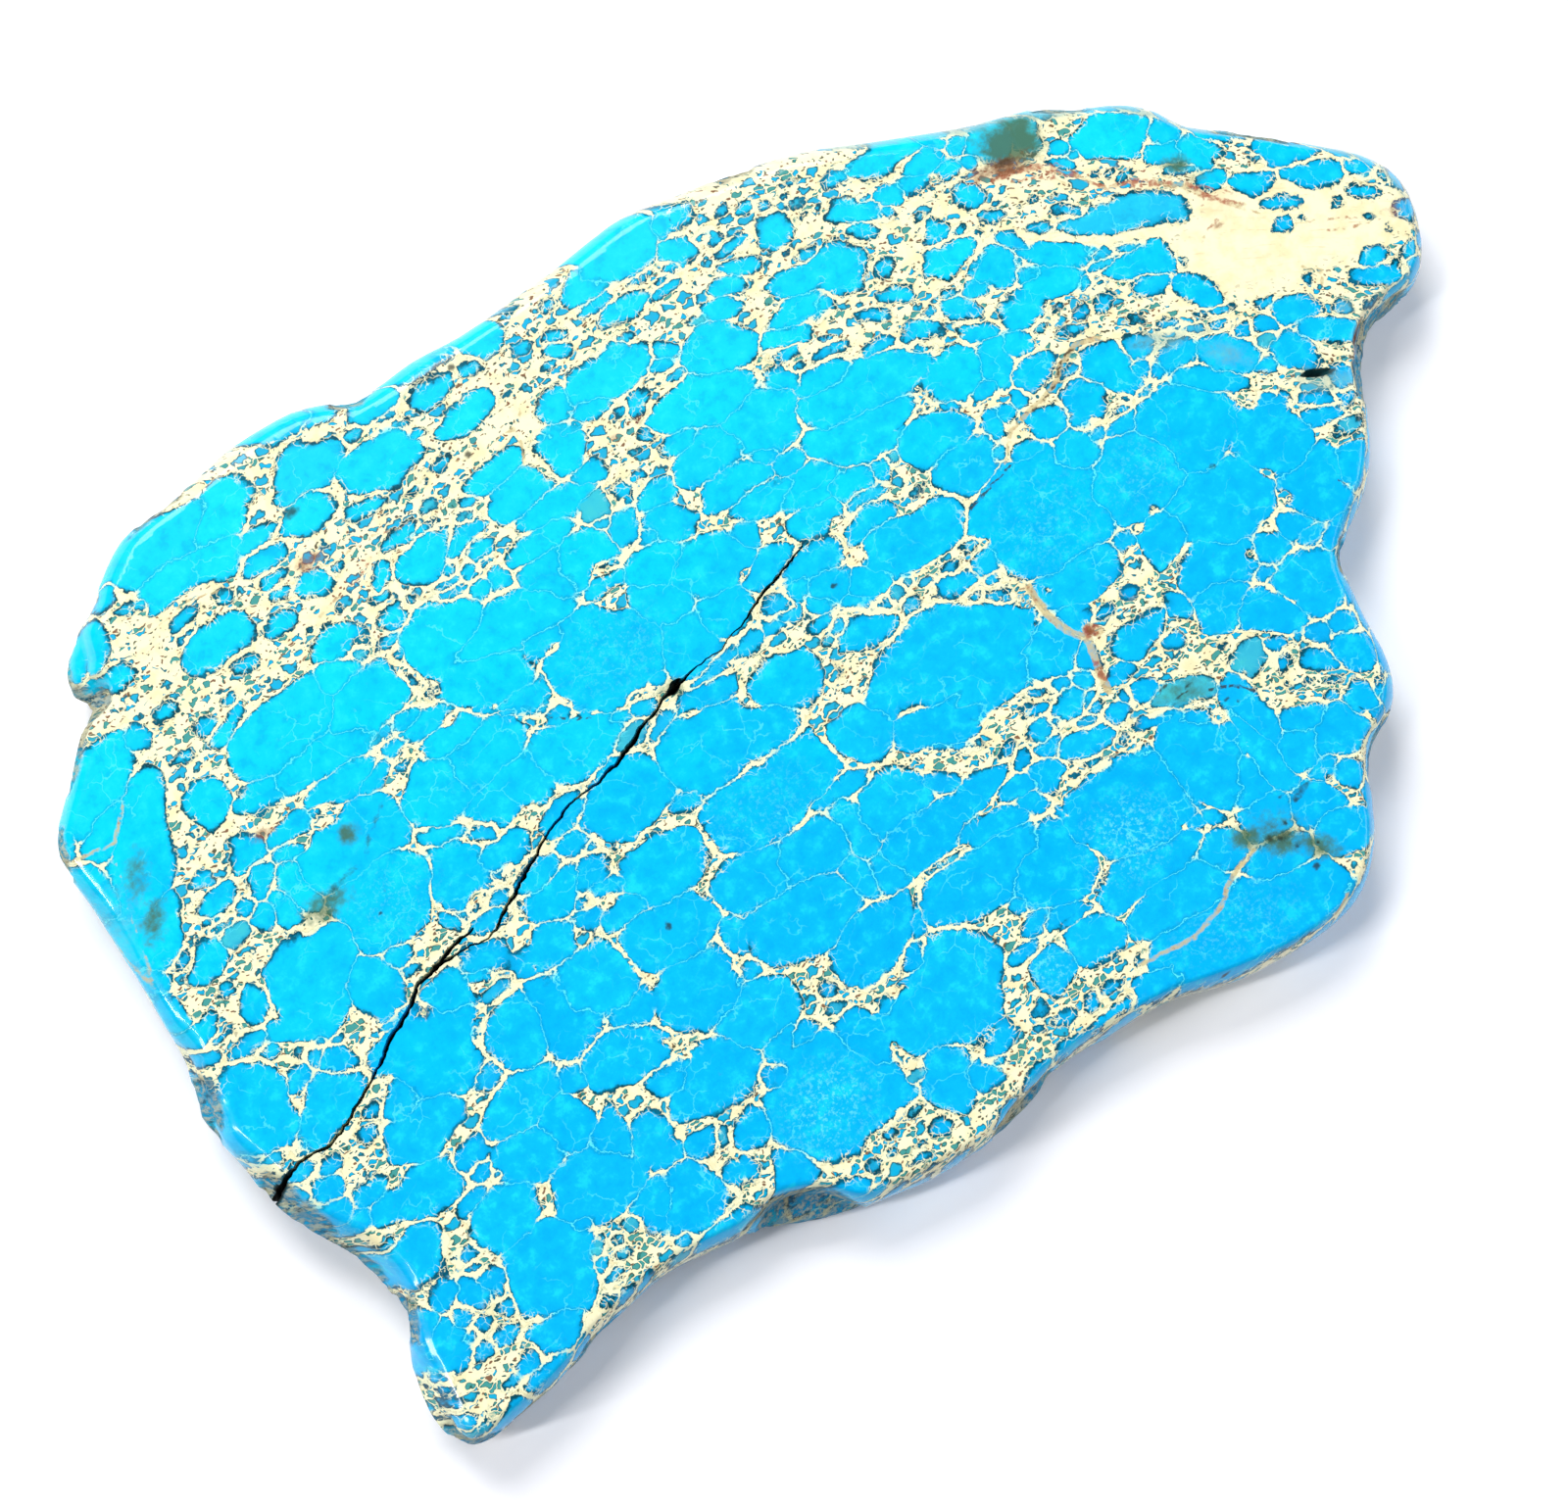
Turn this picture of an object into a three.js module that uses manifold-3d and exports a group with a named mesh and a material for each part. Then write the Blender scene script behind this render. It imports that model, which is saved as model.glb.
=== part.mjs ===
// Rough turquoise slab: one natural stone, cut flat on both faces. Its edge is ground round and
// polished, and still shows the lumps, broken slopes and open fissure of the raw stone.
// Millimetres, +Z up, longest extent along +X. The slab lies on its flat lower face.

import * as THREE from "three";
import Module from "manifold-3d";
import { mergeVertices } from "three/addons/utils/BufferGeometryUtils.js";

const wasm = await Module();
wasm.setup();

const THICKNESS = 10;
const STATIONS = 262;

// The outline at its widest line, anticlockwise from the top notch.
const OUTLINE = [
  [-20.5, 50.0], [-24.0, 50.2], [-26.5, 51.5], [-30.0, 52.8], [-34.0, 53.2], [-38.0, 53.1],
  [-42.0, 52.5], [-46.0, 52.2], [-49.5, 51.9], [-52.2, 51.3], [-54.8, 49.9], [-57.0, 48.4],
  [-58.6, 46.8], [-60.6, 46.1], [-62.6, 45.2], [-64.2, 43.9], [-65.4, 42.3], [-65.5, 40.9],
  [-64.6, 39.6], [-64.6, 38.2], [-66.4, 36.9], [-68.0, 35.4], [-69.5, 34.0], [-71.1, 32.4],
  [-73.1, 30.6], [-75.0, 28.5], [-75.8, 26.4], [-75.7, 23.8], [-75.4, 19.0], [-75.6, 14.5],
  [-76.0, 10.0], [-76.2, 5.0], [-76.8, 1.6], [-77.7, -0.6], [-78.2, -3.0], [-77.9, -6.0],
  [-77.5, -9.5], [-77.4, -12.6], [-76.9, -15.5], [-75.9, -18.4], [-74.6, -21.0],
  [-73.2, -23.8], [-72.5, -27.0], [-72.1, -30.5], [-73.2, -33.0], [-74.3, -35.2],
  [-75.0, -38.2], [-75.4, -41.2], [-75.2, -43.9], [-73.8, -46.0], [-71.0, -46.3],
  [-67.0, -45.9], [-63.5, -45.5], [-60.5, -44.8], [-57.5, -43.9], [-54.0, -43.4],
  [-49.0, -42.9], [-44.0, -43.3], [-40.0, -44.2], [-37.0, -45.5], [-34.0, -46.9],
  [-30.5, -48.6], [-26.0, -49.3], [-20.0, -50.3], [-14.5, -50.7], [-10.7, -50.2],
  [-7.6, -49.4], [-5.6, -48.6], [-2.0, -48.3], [2.5, -48.8], [8.0, -49.5], [13.0, -50.9],
  [18.0, -52.1], [22.5, -52.8], [26.5, -52.7], [30.2, -51.8], [32.8, -50.3], [35.2, -48.0],
  [37.2, -45.0], [39.0, -42.4], [41.2, -40.2], [44.0, -38.6], [46.0, -36.6], [47.5, -33.5],
  [48.2, -30.0], [48.9, -26.0], [49.7, -22.9], [51.4, -21.1], [54.4, -19.3], [57.4, -17.1],
  [60.0, -14.3], [61.9, -11.2], [63.6, -8.4], [65.6, -5.8], [67.8, -4.1], [71.5, -3.5],
  [74.8, -2.7], [77.0, -0.6], [78.6, 2.2], [79.7, 5.6], [79.6, 8.4], [78.6, 10.8],
  [77.2, 12.9], [75.2, 15.0], [72.9, 17.3], [70.6, 19.6], [68.4, 21.7], [66.0, 23.8],
  [64.3, 25.6], [63.6, 27.3], [62.2, 29.3], [60.0, 31.2], [57.4, 32.6], [54.8, 34.4],
  [52.0, 36.0], [49.0, 37.2], [45.5, 38.4], [42.0, 39.8], [38.0, 41.8], [34.0, 43.9],
  [30.0, 45.8], [26.0, 47.2], [22.0, 48.2], [18.0, 49.0], [14.0, 50.1], [10.0, 50.8],
  [5.5, 50.5], [0.0, 50.0], [-6.0, 49.8], [-12.0, 49.8], [-17.0, 50.1],
];

// The points above are read at the upper face; these carry them out to the widest line below it.
const SPREAD = 1.0068;
const SPREAD_FROM = [-54.1, -70.7];

// The edge in section: height above the lower face, and inset from the widest line.
const SECTION = [
  [0.0, 2.7], [0.45, 1.8], [1.2, 1.15], [2.3, 0.65], [3.6, 0.3], [4.9, 0.08], [6.1, 0.0],
  [7.2, 0.05], [8.1, 0.3], [8.85, 0.75], [9.45, 1.25], [9.83, 1.7], [THICKNESS, 2.2],
];

// Places where the upper part of the edge steps or slopes back from the widest line: where it
// is, half its length along the edge, how far the top steps back, and the level it starts at.
const STEP_BACKS = [
  { name: "nodule proud of the upper left edge", at: [-64.2, 42.6], half: 5.0, back: 2.6, level: 6.4 },
  { name: "broken slope on the lower edge", at: [-34.2, -46.8], half: 5.6, back: 2.6, level: 4.6 },
  { name: "worn slope on the left edge", at: [-77.6, -0.2], half: 6.0, back: 1.2, level: 5.6 },
  { name: "low wall below the fissure's mouth", at: [-75.2, -20.0], half: 12.0, back: 1.3, level: 6.0 },
  { name: "low wall at the lower left corner", at: [-75.0, -39.5], half: 6.5, back: 1.0, level: 6.0 },
  { name: "broken lip by the lower notch", at: [-9.2, -49.8], half: 4.0, back: 1.1, level: 6.0 },
  { name: "undercut below the right lobe", at: [69.6, -3.8], half: 4.0, back: 1.1, level: 6.6 },
  { name: "broken lip in the right notch", at: [64.8, -6.8], half: 3.6, back: 0.8, level: 6.8 },
  { name: "step beside the lower right corner", at: [41.2, -40.2], half: 3.4, back: 0.7, level: 6.6 },
];

// Places where the lower part of the edge is cut back: half length, depth, level it starts at.
const UNDERCUTS = [
  { name: "rolled lower right edge", at: [19.0, -52.2], half: 18.0, back: 1.9, level: 6.4 },
  { name: "hollow under the upper left nodule", at: [-64.2, 42.6], half: 4.6, back: 1.3, level: 2.6 },
  { name: "hollow in the left edge", at: [-72.3, -29.5], half: 5.5, back: 1.0, level: 4.0 },
  { name: "flake off the foot, right", at: [58.0, -16.4], half: 7.5, back: 1.3, level: 3.6 },
  { name: "flake off the foot, top", at: [2.0, 50.3], half: 11.0, back: 1.2, level: 3.8 },
  { name: "flake off the foot, left", at: [-76.4, 6.0], half: 8.0, back: 1.1, level: 3.4 },
];

// The open fissure: x, y, width at the upper face, depth.
const FISSURE = [
  [-81.0, -14.6, 1.5, 7.4], [-76.2, -13.9, 1.2, 7.2], [-72.0, -12.8, 0.6, 7.0],
  [-69.0, -13.0, 0.55, 6.8], [-65.0, -11.5, 0.6, 6.6], [-60.0, -9.3, 0.65, 6.4],
  [-56.5, -6.9, 0.65, 6.2], [-52.0, -4.8, 0.6, 6.0], [-47.0, -4.6, 0.45, 5.8],
  [-43.0, -4.6, 0.6, 5.6], [-40.0, -2.6, 0.75, 5.4], [-36.0, -0.7, 0.7, 5.2],
  [-33.0, 0.5, 0.45, 5.0], [-29.0, 2.0, 0.65, 4.8], [-25.0, 2.2, 0.85, 4.6],
  [-21.0, 3.7, 0.9, 4.4], [-17.0, 5.0, 0.7, 4.0], [-14.0, 5.8, 1.2, 3.4], [-11.5, 6.1, 0.4, 2.4],
  [-8.0, 6.3, 0.35, 1.8], [-4.0, 7.8, 0.4, 1.6], [0.0, 8.9, 0.55, 1.8], [3.0, 9.7, 0.5, 1.6],
  [5.6, 10.8, 0.2, 0.8],
];

// Open pits in the upper face: centre, half length, half width, depth, turn in degrees.
const PITS = [
  { name: "pit by the right notch", at: [60.2, -5.0], half: [1.9, 0.75], depth: 0.9, turn: -28 },
  { name: "pit where the fissure narrows", at: [-14.3, 5.9], half: [1.5, 0.85], depth: 1.6, turn: 20 },
];

// A closed run of evenly spaced points round the widest line.
function widestLine() {
  const points = OUTLINE.map(([x, y]) => {
    const sx = SPREAD_FROM[0] + (x - SPREAD_FROM[0]) * SPREAD;
    const sy = SPREAD_FROM[1] + (y - SPREAD_FROM[1]) * SPREAD;
    return new THREE.Vector3(sx, sy, 0);
  });
  const curve = new THREE.CatmullRomCurve3(points, true, "centripetal");
  curve.arcLengthDivisions = 2000;
  return curve.getSpacedPoints(STATIONS).slice(0, STATIONS);
}

// Outward directions, averaged over a few stations so that the inset rows stay clear of each
// other at the tight corners.
function outwardDirections(line) {
  const count = line.length;
  const raw = line.map((_, i) => {
    const before = line[(i + count - 1) % count];
    const after = line[(i + 1) % count];
    return new THREE.Vector2(after.y - before.y, before.x - after.x).normalize();
  });
  return raw.map((_, i) => {
    const sum = new THREE.Vector2();
    for (let k = -3; k <= 3; k += 1) {
      sum.addScaledVector(raw[(i + k + count) % count], 4 - Math.abs(k));
    }
    return sum.normalize();
  });
}

// How strongly a feature acts at a point of the edge: 1 at its middle, 0 past its half length.
function strength(feature, point) {
  const reach = Math.hypot(point.x - feature.at[0], point.y - feature.at[1]) / feature.half;
  const rest = Math.max(0, 1 - reach * reach);
  return rest * (2 - rest);
}

// The inset of the edge from the widest line at one station and level.
function insetAt(point, level, plain, station) {
  let inset = plain;
  for (const step of STEP_BACKS) {
    const above = THREE.MathUtils.smoothstep(level, step.level, step.level + 1.8);
    inset += step.back * strength(step, point) * above;
  }
  for (const cut of UNDERCUTS) {
    const below = Math.max(0, (cut.level - level) / cut.level);
    inset += cut.back * strength(cut, point) * below ** 1.3;
  }
  const turn = (station / STATIONS) * Math.PI * 2;
  const middle = Math.sin((level / THICKNESS) * Math.PI);
  const lumps = Math.sin(turn * 23 + level * 0.7) + 0.8 * Math.sin(turn * 37 - level * 0.9 + 1.3);
  return inset + 0.13 * lumps * middle;
}

// The whole stone without its openings: rows of points up the edge, and two flat faces.
function stone() {
  const line = widestLine();
  const out = outwardDirections(line);
  const positions = [];
  const index = [];
  for (const [level, plain] of SECTION) {
    line.forEach((point, i) => {
      const inset = insetAt(point, level, plain, i);
      positions.push(point.x - out[i].x * inset, point.y - out[i].y * inset, level);
    });
  }
  for (let row = 0; row + 1 < SECTION.length; row += 1) {
    for (let i = 0; i < STATIONS; i += 1) {
      const a = row * STATIONS + i;
      const b = row * STATIONS + ((i + 1) % STATIONS);
      index.push(a, b, b + STATIONS, a, b + STATIONS, a + STATIONS);
    }
  }
  const top = (SECTION.length - 1) * STATIONS;
  const corner = (k) => new THREE.Vector2(positions[3 * k], positions[3 * k + 1]);
  const face = (first) => THREE.ShapeUtils.triangulateShape(line.map((_, i) => corner(first + i)), []);
  for (const [a, b, c] of face(0)) {
    index.push(a, c, b);
  }
  for (const [a, b, c] of face(top)) {
    index.push(top + a, top + b, top + c);
  }
  const geometry = new THREE.BufferGeometry();
  geometry.setAttribute("position", new THREE.Float32BufferAttribute(positions, 3));
  geometry.setIndex(index);
  return geometry;
}

// A wedge along the fissure: two sides that meet in a line at its bottom.
function fissureWedge() {
  const rise = 1;
  const positions = [];
  const index = [];
  FISSURE.forEach(([x, y, width, depth], i) => {
    const before = FISSURE[Math.max(0, i - 1)];
    const after = FISSURE[Math.min(FISSURE.length - 1, i + 1)];
    const side = new THREE.Vector2(before[1] - after[1], after[0] - before[0]).normalize();
    const half = (width / 2) * ((depth + rise) / depth);
    positions.push(x + side.x * half, y + side.y * half, THICKNESS + rise);
    positions.push(x - side.x * half, y - side.y * half, THICKNESS + rise);
    positions.push(x, y, THICKNESS - depth);
  });
  for (let i = 0; i + 1 < FISSURE.length; i += 1) {
    const a = 3 * i;
    const b = a + 3;
    index.push(a, a + 1, b + 1, a, b + 1, b);
    index.push(a + 1, a + 2, b + 2, a + 1, b + 2, b + 1);
    index.push(a + 2, a, b, a + 2, b, b + 2);
  }
  const last = 3 * (FISSURE.length - 1);
  index.push(0, 2, 1, last, last + 1, last + 2);
  const geometry = new THREE.BufferGeometry();
  geometry.setAttribute("position", new THREE.Float32BufferAttribute(positions, 3));
  geometry.setIndex(index);
  return geometry;
}

// A flattened ball, sunk into the upper face.
function pitBall(pit) {
  const ball = new THREE.SphereGeometry(1, 12, 8);
  ball.scale(pit.half[0], pit.half[1], pit.depth);
  ball.rotateZ(THREE.MathUtils.degToRad(pit.turn));
  ball.translate(pit.at[0], pit.at[1], THICKNESS);
  return ball;
}

function toSolid(geometry) {
  const bare = geometry.clone();
  bare.deleteAttribute("normal");
  bare.deleteAttribute("uv");
  const merged = mergeVertices(bare, 1e-5);
  const vertProperties = Float32Array.from(merged.attributes.position.array);
  const triVerts = Uint32Array.from(merged.index.array);
  return new wasm.Manifold(new wasm.Mesh({ numProp: 3, vertProperties, triVerts }));
}

function toGeometry(solid) {
  const mesh = solid.getMesh();
  const geometry = new THREE.BufferGeometry();
  geometry.setAttribute("position", new THREE.Float32BufferAttribute(mesh.vertProperties, 3));
  geometry.setIndex(Array.from(mesh.triVerts));
  geometry.computeVertexNormals();
  return geometry;
}

// The finished slab, with its origin below the middle of its box.
function slab() {
  let solid = toSolid(stone()).subtract(toSolid(fissureWedge()));
  for (const pit of PITS) {
    solid = solid.subtract(toSolid(pitBall(pit)));
  }
  const geometry = toGeometry(solid);
  geometry.computeBoundingBox();
  const box = geometry.boundingBox;
  geometry.translate(-(box.min.x + box.max.x) / 2, -(box.min.y + box.max.y) / 2, -box.min.z);
  return geometry;
}

const turquoise = new THREE.MeshStandardMaterial({
  name: "turquoise",
  color: 0x1cc6ee,
  roughness: 0.22,
  metalness: 0,
});

const slabMesh = new THREE.Mesh(slab(), turquoise);
slabMesh.name = "turquoise_slab";

const part = new THREE.Group();
part.add(slabMesh);

export default part;
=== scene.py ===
"""Rough turquoise slab: a polished cut through packed blue nodules in cream matrix.

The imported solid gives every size. A fine skin is grown over it, with the polished rim,
the rough natural lower wall, the open fissure and the two small pits, and one stone
finish follows the nodules, the matrix, the hairlines and the stains through the slab.
Lists are in millimetres, in the coordinates used when the slab was drawn.
"""
import math
from types import SimpleNamespace
import bpy
import numpy as np
from mathutils import Matrix, Vector, noise
from mathutils.bvhtree import BVHTree
from mathutils.geometry import delaunay_2d_cdt
from mathutils.kdtree import KDTree


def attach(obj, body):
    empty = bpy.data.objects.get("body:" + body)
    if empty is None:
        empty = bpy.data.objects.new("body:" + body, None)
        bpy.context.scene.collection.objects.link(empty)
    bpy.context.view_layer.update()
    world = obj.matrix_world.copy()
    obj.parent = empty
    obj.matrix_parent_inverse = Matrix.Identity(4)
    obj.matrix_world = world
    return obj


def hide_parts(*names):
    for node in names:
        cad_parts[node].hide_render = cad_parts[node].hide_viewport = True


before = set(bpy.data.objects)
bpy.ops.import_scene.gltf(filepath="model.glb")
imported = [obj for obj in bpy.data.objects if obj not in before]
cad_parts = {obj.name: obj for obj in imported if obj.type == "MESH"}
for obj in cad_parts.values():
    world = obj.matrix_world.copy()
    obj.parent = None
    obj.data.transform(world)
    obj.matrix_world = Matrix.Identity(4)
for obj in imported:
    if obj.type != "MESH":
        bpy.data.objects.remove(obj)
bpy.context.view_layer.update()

MM = 0.001
THICKNESS = 10.0
ORIGIN = np.array([1.211, 0.782])   # the middle of the slab's box, in drawing coordinates
DIP = np.array([0.9, -0.6])         # how far the veins lean for each millimetre of depth

# ---------------------------------------------------------------- nodules
# x, y, half length, half width, and the turn in degrees where it isn't 0
NODULES = {
    "top left": [
        (-49, 48.5, 6.5, 2.8, 5), (-48, 44.8, 5.5, 2.3), (-55, 45, 1.8, 0.6),
        (-60.3, 39, 1.9, 1.4, 20), (-51.5, 40.5, 1.7, 0.9), (-47, 40, 1.2, 0.9),
        (-50, 36.7, 4, 2.2, 10), (-52, 38.9, 1.1, 0.5), (-68.5, 31.3, 5.5, 3.1, 35),
        (-70, 26.8, 2.8, 2, 30), (-68.5, 22, 8, 3.2, 55), (-73.5, 21, 1.2, 3), (-60, 23.2, 2.3, 2.1),
        (-59.5, 28.5, 1.2, 0.8), (-58.5, 33.5, 1.5, 1), (-64.2, 41.4, 2.4, 1.8, 30),
        (-62.5, 33.3, 1.5, 1), (-55.5, 30, 1.7, 1), (-53.8, 28.8, 3.2, 0.9, 25), (-52, 31, 1, 0.6),
        (-49, 33, 1.6, 0.8), (-49.3, 25, 6.5, 3.6, 12), (-55, 20.5, 3, 1.5), (-48, 20.5, 6, 2),
        (-63.2, 43.2, 5, 3.4, 45),
    ],
    "left": [
        (-72, 15.5, 4.2, 3.5, 50), (-75, 12, 1.5, 6), (-75.7, 6, 1, 4), (-64.7, 16.9, 1.5, 0.9, 10),
        (-59.7, 17.1, 1.7, 1.6), (-65, 13.9, 2.4, 1.2, 20), (-66.3, 12.6, 1.2, 0.7),
        (-62.7, 11.8, 1, 0.9), (-66, 11.2, 1.4, 0.7), (-60, 12.9, 1.8, 1.2, 40),
        (-69.1, 9.3, 2.5, 1.8, 35), (-71, 11, 0.9, 0.5, 50), (-61.5, 9.8, 1.5, 1.4),
        (-59.9, 9.3, 1.6, 1.6), (-57.3, 10.5, 1.7, 2.3), (-74.6, 7.6, 1.4, 3.2),
        (-72.8, 4, 1.9, 1.3, 45), (-69, 5.9, 1, 0.8), (-71.8, 2.4, 1.2, 0.7), (-74.3, 1, 1.5, 0.6, 10),
        (-67.2, 3.1, 1.9, 1.6, 20), (-69.8, 0, 2, 0.8, -10), (-68.4, -2, 0.8, 0.7),
        (-56.8, -2.5, 2.6, 3), (-50.5, 11, 6.5, 3.2), (-50.5, 4.5, 5.5, 4), (-55.8, 13.9, 1.9, 1),
        (-54, 16.2, 2.6, 1.2), (-48, 17.2, 3.5, 1.7), (-52.5, -1.3, 1.6, 0.9, -20),
        (-52.5, -3, 1.2, 0.5), (-47, -1.3, 1, 0.8), (-45.2, -1.2, 0.6, 0.5), (-43.5, 2.5, 3, 3.3),
        (-55.5, -11, 5.5, 4.3, 10), (-51, -7.5, 2.5, 2), (-60.5, -17.3, 4.3, 2.3),
        (-67.3, -9.8, 4, 2.3, 25), (-73.3, -6, 3.6, 4.4), (-68, -5.8, 1.6, 0.9, 20),
        (-65.3, -4.8, 0.8, 0.7, 40), (-63.3, -6.2, 1.4, 1), (-62.5, -4.5, 0.7, 0.4),
        (-64.2, -3.7, 0.6, 0.4), (-57.2, -6.5, 1.2, 0.5), (-70, -15.1, 1.2, 0.7),
        (-71.3, -16.5, 1.4, 1), (-65, -14.5, 1.3, 0.7, 30), (-63.6, -12.7, 1, 0.7, 20),
        (-72.8, -19, 1.8, 1.2), (-52.3, -16.5, 1.3, 0.7, 20), (-77, -9, 1.4, 4, 8),
        (-76, -17.5, 2, 3.4, 15), (-74.4, -24, 2, 3.6, 15), (-72.4, -28.5, 1, 1.8, 10),
        (-42.6, -15.4, 3.6, 3.6), (-60.4, -13.5, 2, 1.6, 40), (-72.8, -13.8, 1.3, 0.6),
        (-70.8, -11.4, 1.2, 0.6, 30), (-74.4, -11, 0.8, 0.5), (-42.2, 6.8, 1.9, 0.9, -20),
        (-39.2, 4.4, 1.2, 0.6, -20), (-51, -12, 0.5, 0.7), (-46.5, -14.5, 3.5, 2.8, 30),
        (-47.8, -7.2, 1.6, 0.8),
    ],
    "lower left": [
        (-67.9, -19.3, 2, 1.3), (-70.5, -20.8, 1.2, 1), (-64.5, -22, 4.8, 2.6, 5),
        (-69.7, -24.7, 1, 0.5), (-67.4, -27.2, 2.6, 2.6, 30), (-65.2, -27.7, 1, 0.6, 20),
        (-64.8, -29.6, 0.6, 0.5), (-63.5, -29.9, 1.2, 0.7), (-64, -31.2, 0.9, 0.5),
        (-60.8, -26, 1.6, 0.9, 10), (-58, -22, 2, 1.3, 10), (-58.2, -24.2, 1.5, 0.8, 15),
        (-57.3, -25.3, 0.8, 0.4, 15), (-68, -32, 1.9, 1.3), (-65.5, -33.3, 1.5, 1.8, 40),
        (-63.4, -33.3, 1.6, 1.3, 10), (-70.3, -36, 2, 2, 60), (-68, -35, 1.2, 1), (-72.8, -36.5, 1, 2),
        (-68.5, -36.8, 1.2, 0.8), (-66.3, -36.5, 0.8, 0.8), (-67.8, -39, 1, 0.7),
        (-65.1, -38.9, 1.1, 0.8, 15), (-63.3, -36.3, 0.7, 0.8), (-57.5, -35.5, 4.2, 5.2),
        (-58, -29.3, 4.2, 2.7), (-53.5, -25.5, 3.5, 2.8), (-51, -20.5, 4.5, 2), (-48.5, -25, 2.5, 3),
        (-49.5, -31.5, 4.5, 3.3), (-45.5, -28.5, 2.2, 2, 20), (-53, -33.7, 1.3, 1),
        (-60.8, -41.3, 2.5, 1.4), (-65, -42.2, 1.6, 1), (-63.8, -44.2, 3, 1, 3),
        (-67.1, -42.9, 1, 0.5, 10), (-73, -43.3, 1.2, 0.7, 5), (-55, -41.8, 1.4, 0.6),
        (-45.3, -36.7, 2.6, 2.3), (-53.3, -38.3, 0.8, 0.7), (-52.8, -39.9, 1.1, 0.5, 10),
        (-59.3, -43.6, 0.8, 0.5), (-45.6, -41.2, 1, 0.6),
    ],
    "top middle": [
        (-42, 48.2, 4.2, 2.5, 15), (-31.5, 52, 3.8, 1.1, -8), (-27.5, 50.7, 2, 1),
        (-23.2, 48.7, 2.9, 1.3, -8), (-26.6, 47.3, 1.1, 0.6, -20), (-22.5, 46.8, 1.6, 0.3),
        (-35, 42.5, 3, 1.9), (-41, 43.6, 2.5, 0.9, 5), (-41, 41, 2.4, 1.1), (-25.5, 43, 4.6, 3, 5),
        (-21, 43.4, 1.4, 0.8, 5), (-23, 45.3, 2.8, 0.6), (-29.7, 39.8, 2.6, 1, -5),
        (-20.5, 39.1, 1.4, 0.7, 5), (-23, 38.3, 0.8, 0.4), (-24.6, 38.3, 0.9, 0.4),
        (-15.5, 42.2, 3.2, 1.9, 8), (-10.8, 41.8, 1, 0.3), (-17, 46.1, 2.2, 1.3),
        (-15.5, 49.3, 4, 0.8), (-9.2, 48.4, 2.4, 1.8, -15), (-12.2, 45.9, 1.4, 0.7),
        (-6.5, 45, 1, 0.7), (-41.2, 38.6, 1.9, 0.9, 5), (-41.5, 37, 1.4, 0.7, -20),
        (-38.4, 35.9, 2.4, 1.5), (-35.8, 36.3, 1.2, 0.7, 5), (-43.5, 34.5, 2, 1.1),
        (-28.5, 35.2, 2.3, 1, 10), (-26.5, 34.7, 1.9, 0.5, -10), (-16.5, 35.3, 3.3, 1.4),
        (-20.3, 34.3, 1, 0.5), (-32.2, 32.6, 1.8, 1.1, 35), (-27.7, 32, 3, 2.4, 10),
        (-15.8, 32, 3.5, 1.8), (-22.5, 31.3, 3.2, 1.1, 5), (-22, 29.3, 2, 1.2, 15),
        (-26.3, 29.7, 1, 0.8), (-9.5, 33.7, 2.8, 2, -20), (-9, 35, 2.6, 0.8, -20), (-7, 38, 2.2, 1.6),
        (-39.5, 29.9, 3.1, 1.6), (-33.5, 31.1, 1.4, 0.7, -10), (-33.8, 28.7, 2.2, 1.2, 15),
        (-31.1, 28.9, 0.6, 0.6), (-27, 28.3, 1.6, 0.5, -15), (-24.8, 28, 1.2, 0.8, 20),
        (-22.9, 27.8, 1, 0.4, -5), (-27.5, 27.2, 1.5, 0.5, -10), (-13.5, 28.6, 4.2, 1.4, -5),
        (-8, 29.9, 2, 1.1, 15), (-42.5, 26.3, 2.6, 1.6), (-35.5, 26.5, 1.3, 0.7),
        (-35.2, 24.9, 1, 0.6, 20), (-30.5, 23.8, 4.4, 3.4, 10), (-24.7, 25.5, 1.6, 1),
        (-22.7, 25.3, 1.6, 1.2, 5), (-41, 22.6, 4.4, 2.9, 5), (-35.4, 20, 0.6, 0.6),
        (-17, 26.2, 3.4, 1.5), (-6.7, 25.9, 1.3, 1.2), (-10.2, 24.2, 1, 0.5), (-24, 21, 6.5, 2.6),
        (-14.5, 22.3, 3.5, 2.3), (-18, 22.8, 3, 2.5), (-8.5, 22.8, 1.8, 1.1, 30), (-7, 20.3, 1.2, 0.7),
        (-38.5, 18.6, 1.6, 1), (-41.5, 19, 1.8, 0.6),
    ],
    "beside the fissure": [
        (-37, 17.5, 3, 1.2), (-29.5, 17.5, 4.5, 2.6, -15), (-35.5, 14.3, 3, 1.8),
        (-41.3, 14.9, 1, 0.6), (-28.9, 13.1, 1.5, 0.6, -10), (-26.8, 11.6, 0.8, 0.5),
        (-18, 12.5, 6.5, 5), (-34.5, 11, 5, 3), (-40, 10.5, 3.8, 2.8), (-10.5, 14, 3, 3),
        (-10.5, 9, 3.4, 2.8), (-26.3, 6.7, 5, 2.5, -8), (-27.4, 13.7, 2.4, 1.3, -15),
        (-25.8, 9.7, 1.6, 0.8, -30), (-15.2, 7.8, 1.2, 0.8), (-21, 6.6, 1.6, 0.8), (-7.4, -17, 1.4, 3),
        (-7, -22.4, 1.6, 2), (-33.6, 6.7, 4.5, 2.8), (-18.1, 6.2, 1.1, 0.7), (-38, 1.8, 2.8, 1.2, 10),
        (-42, -1.2, 0.6, 0.4), (-41.4, -2.5, 0.9, 0.6), (-31, 1, 2.8, 1.1, 10),
        (-36.3, -2.4, 2.8, 1, 15), (-24.5, -1, 5, 3, 5), (-36.5, -5, 3, 1.5, 5), (-32.3, -5.5, 2, 1.2),
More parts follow.
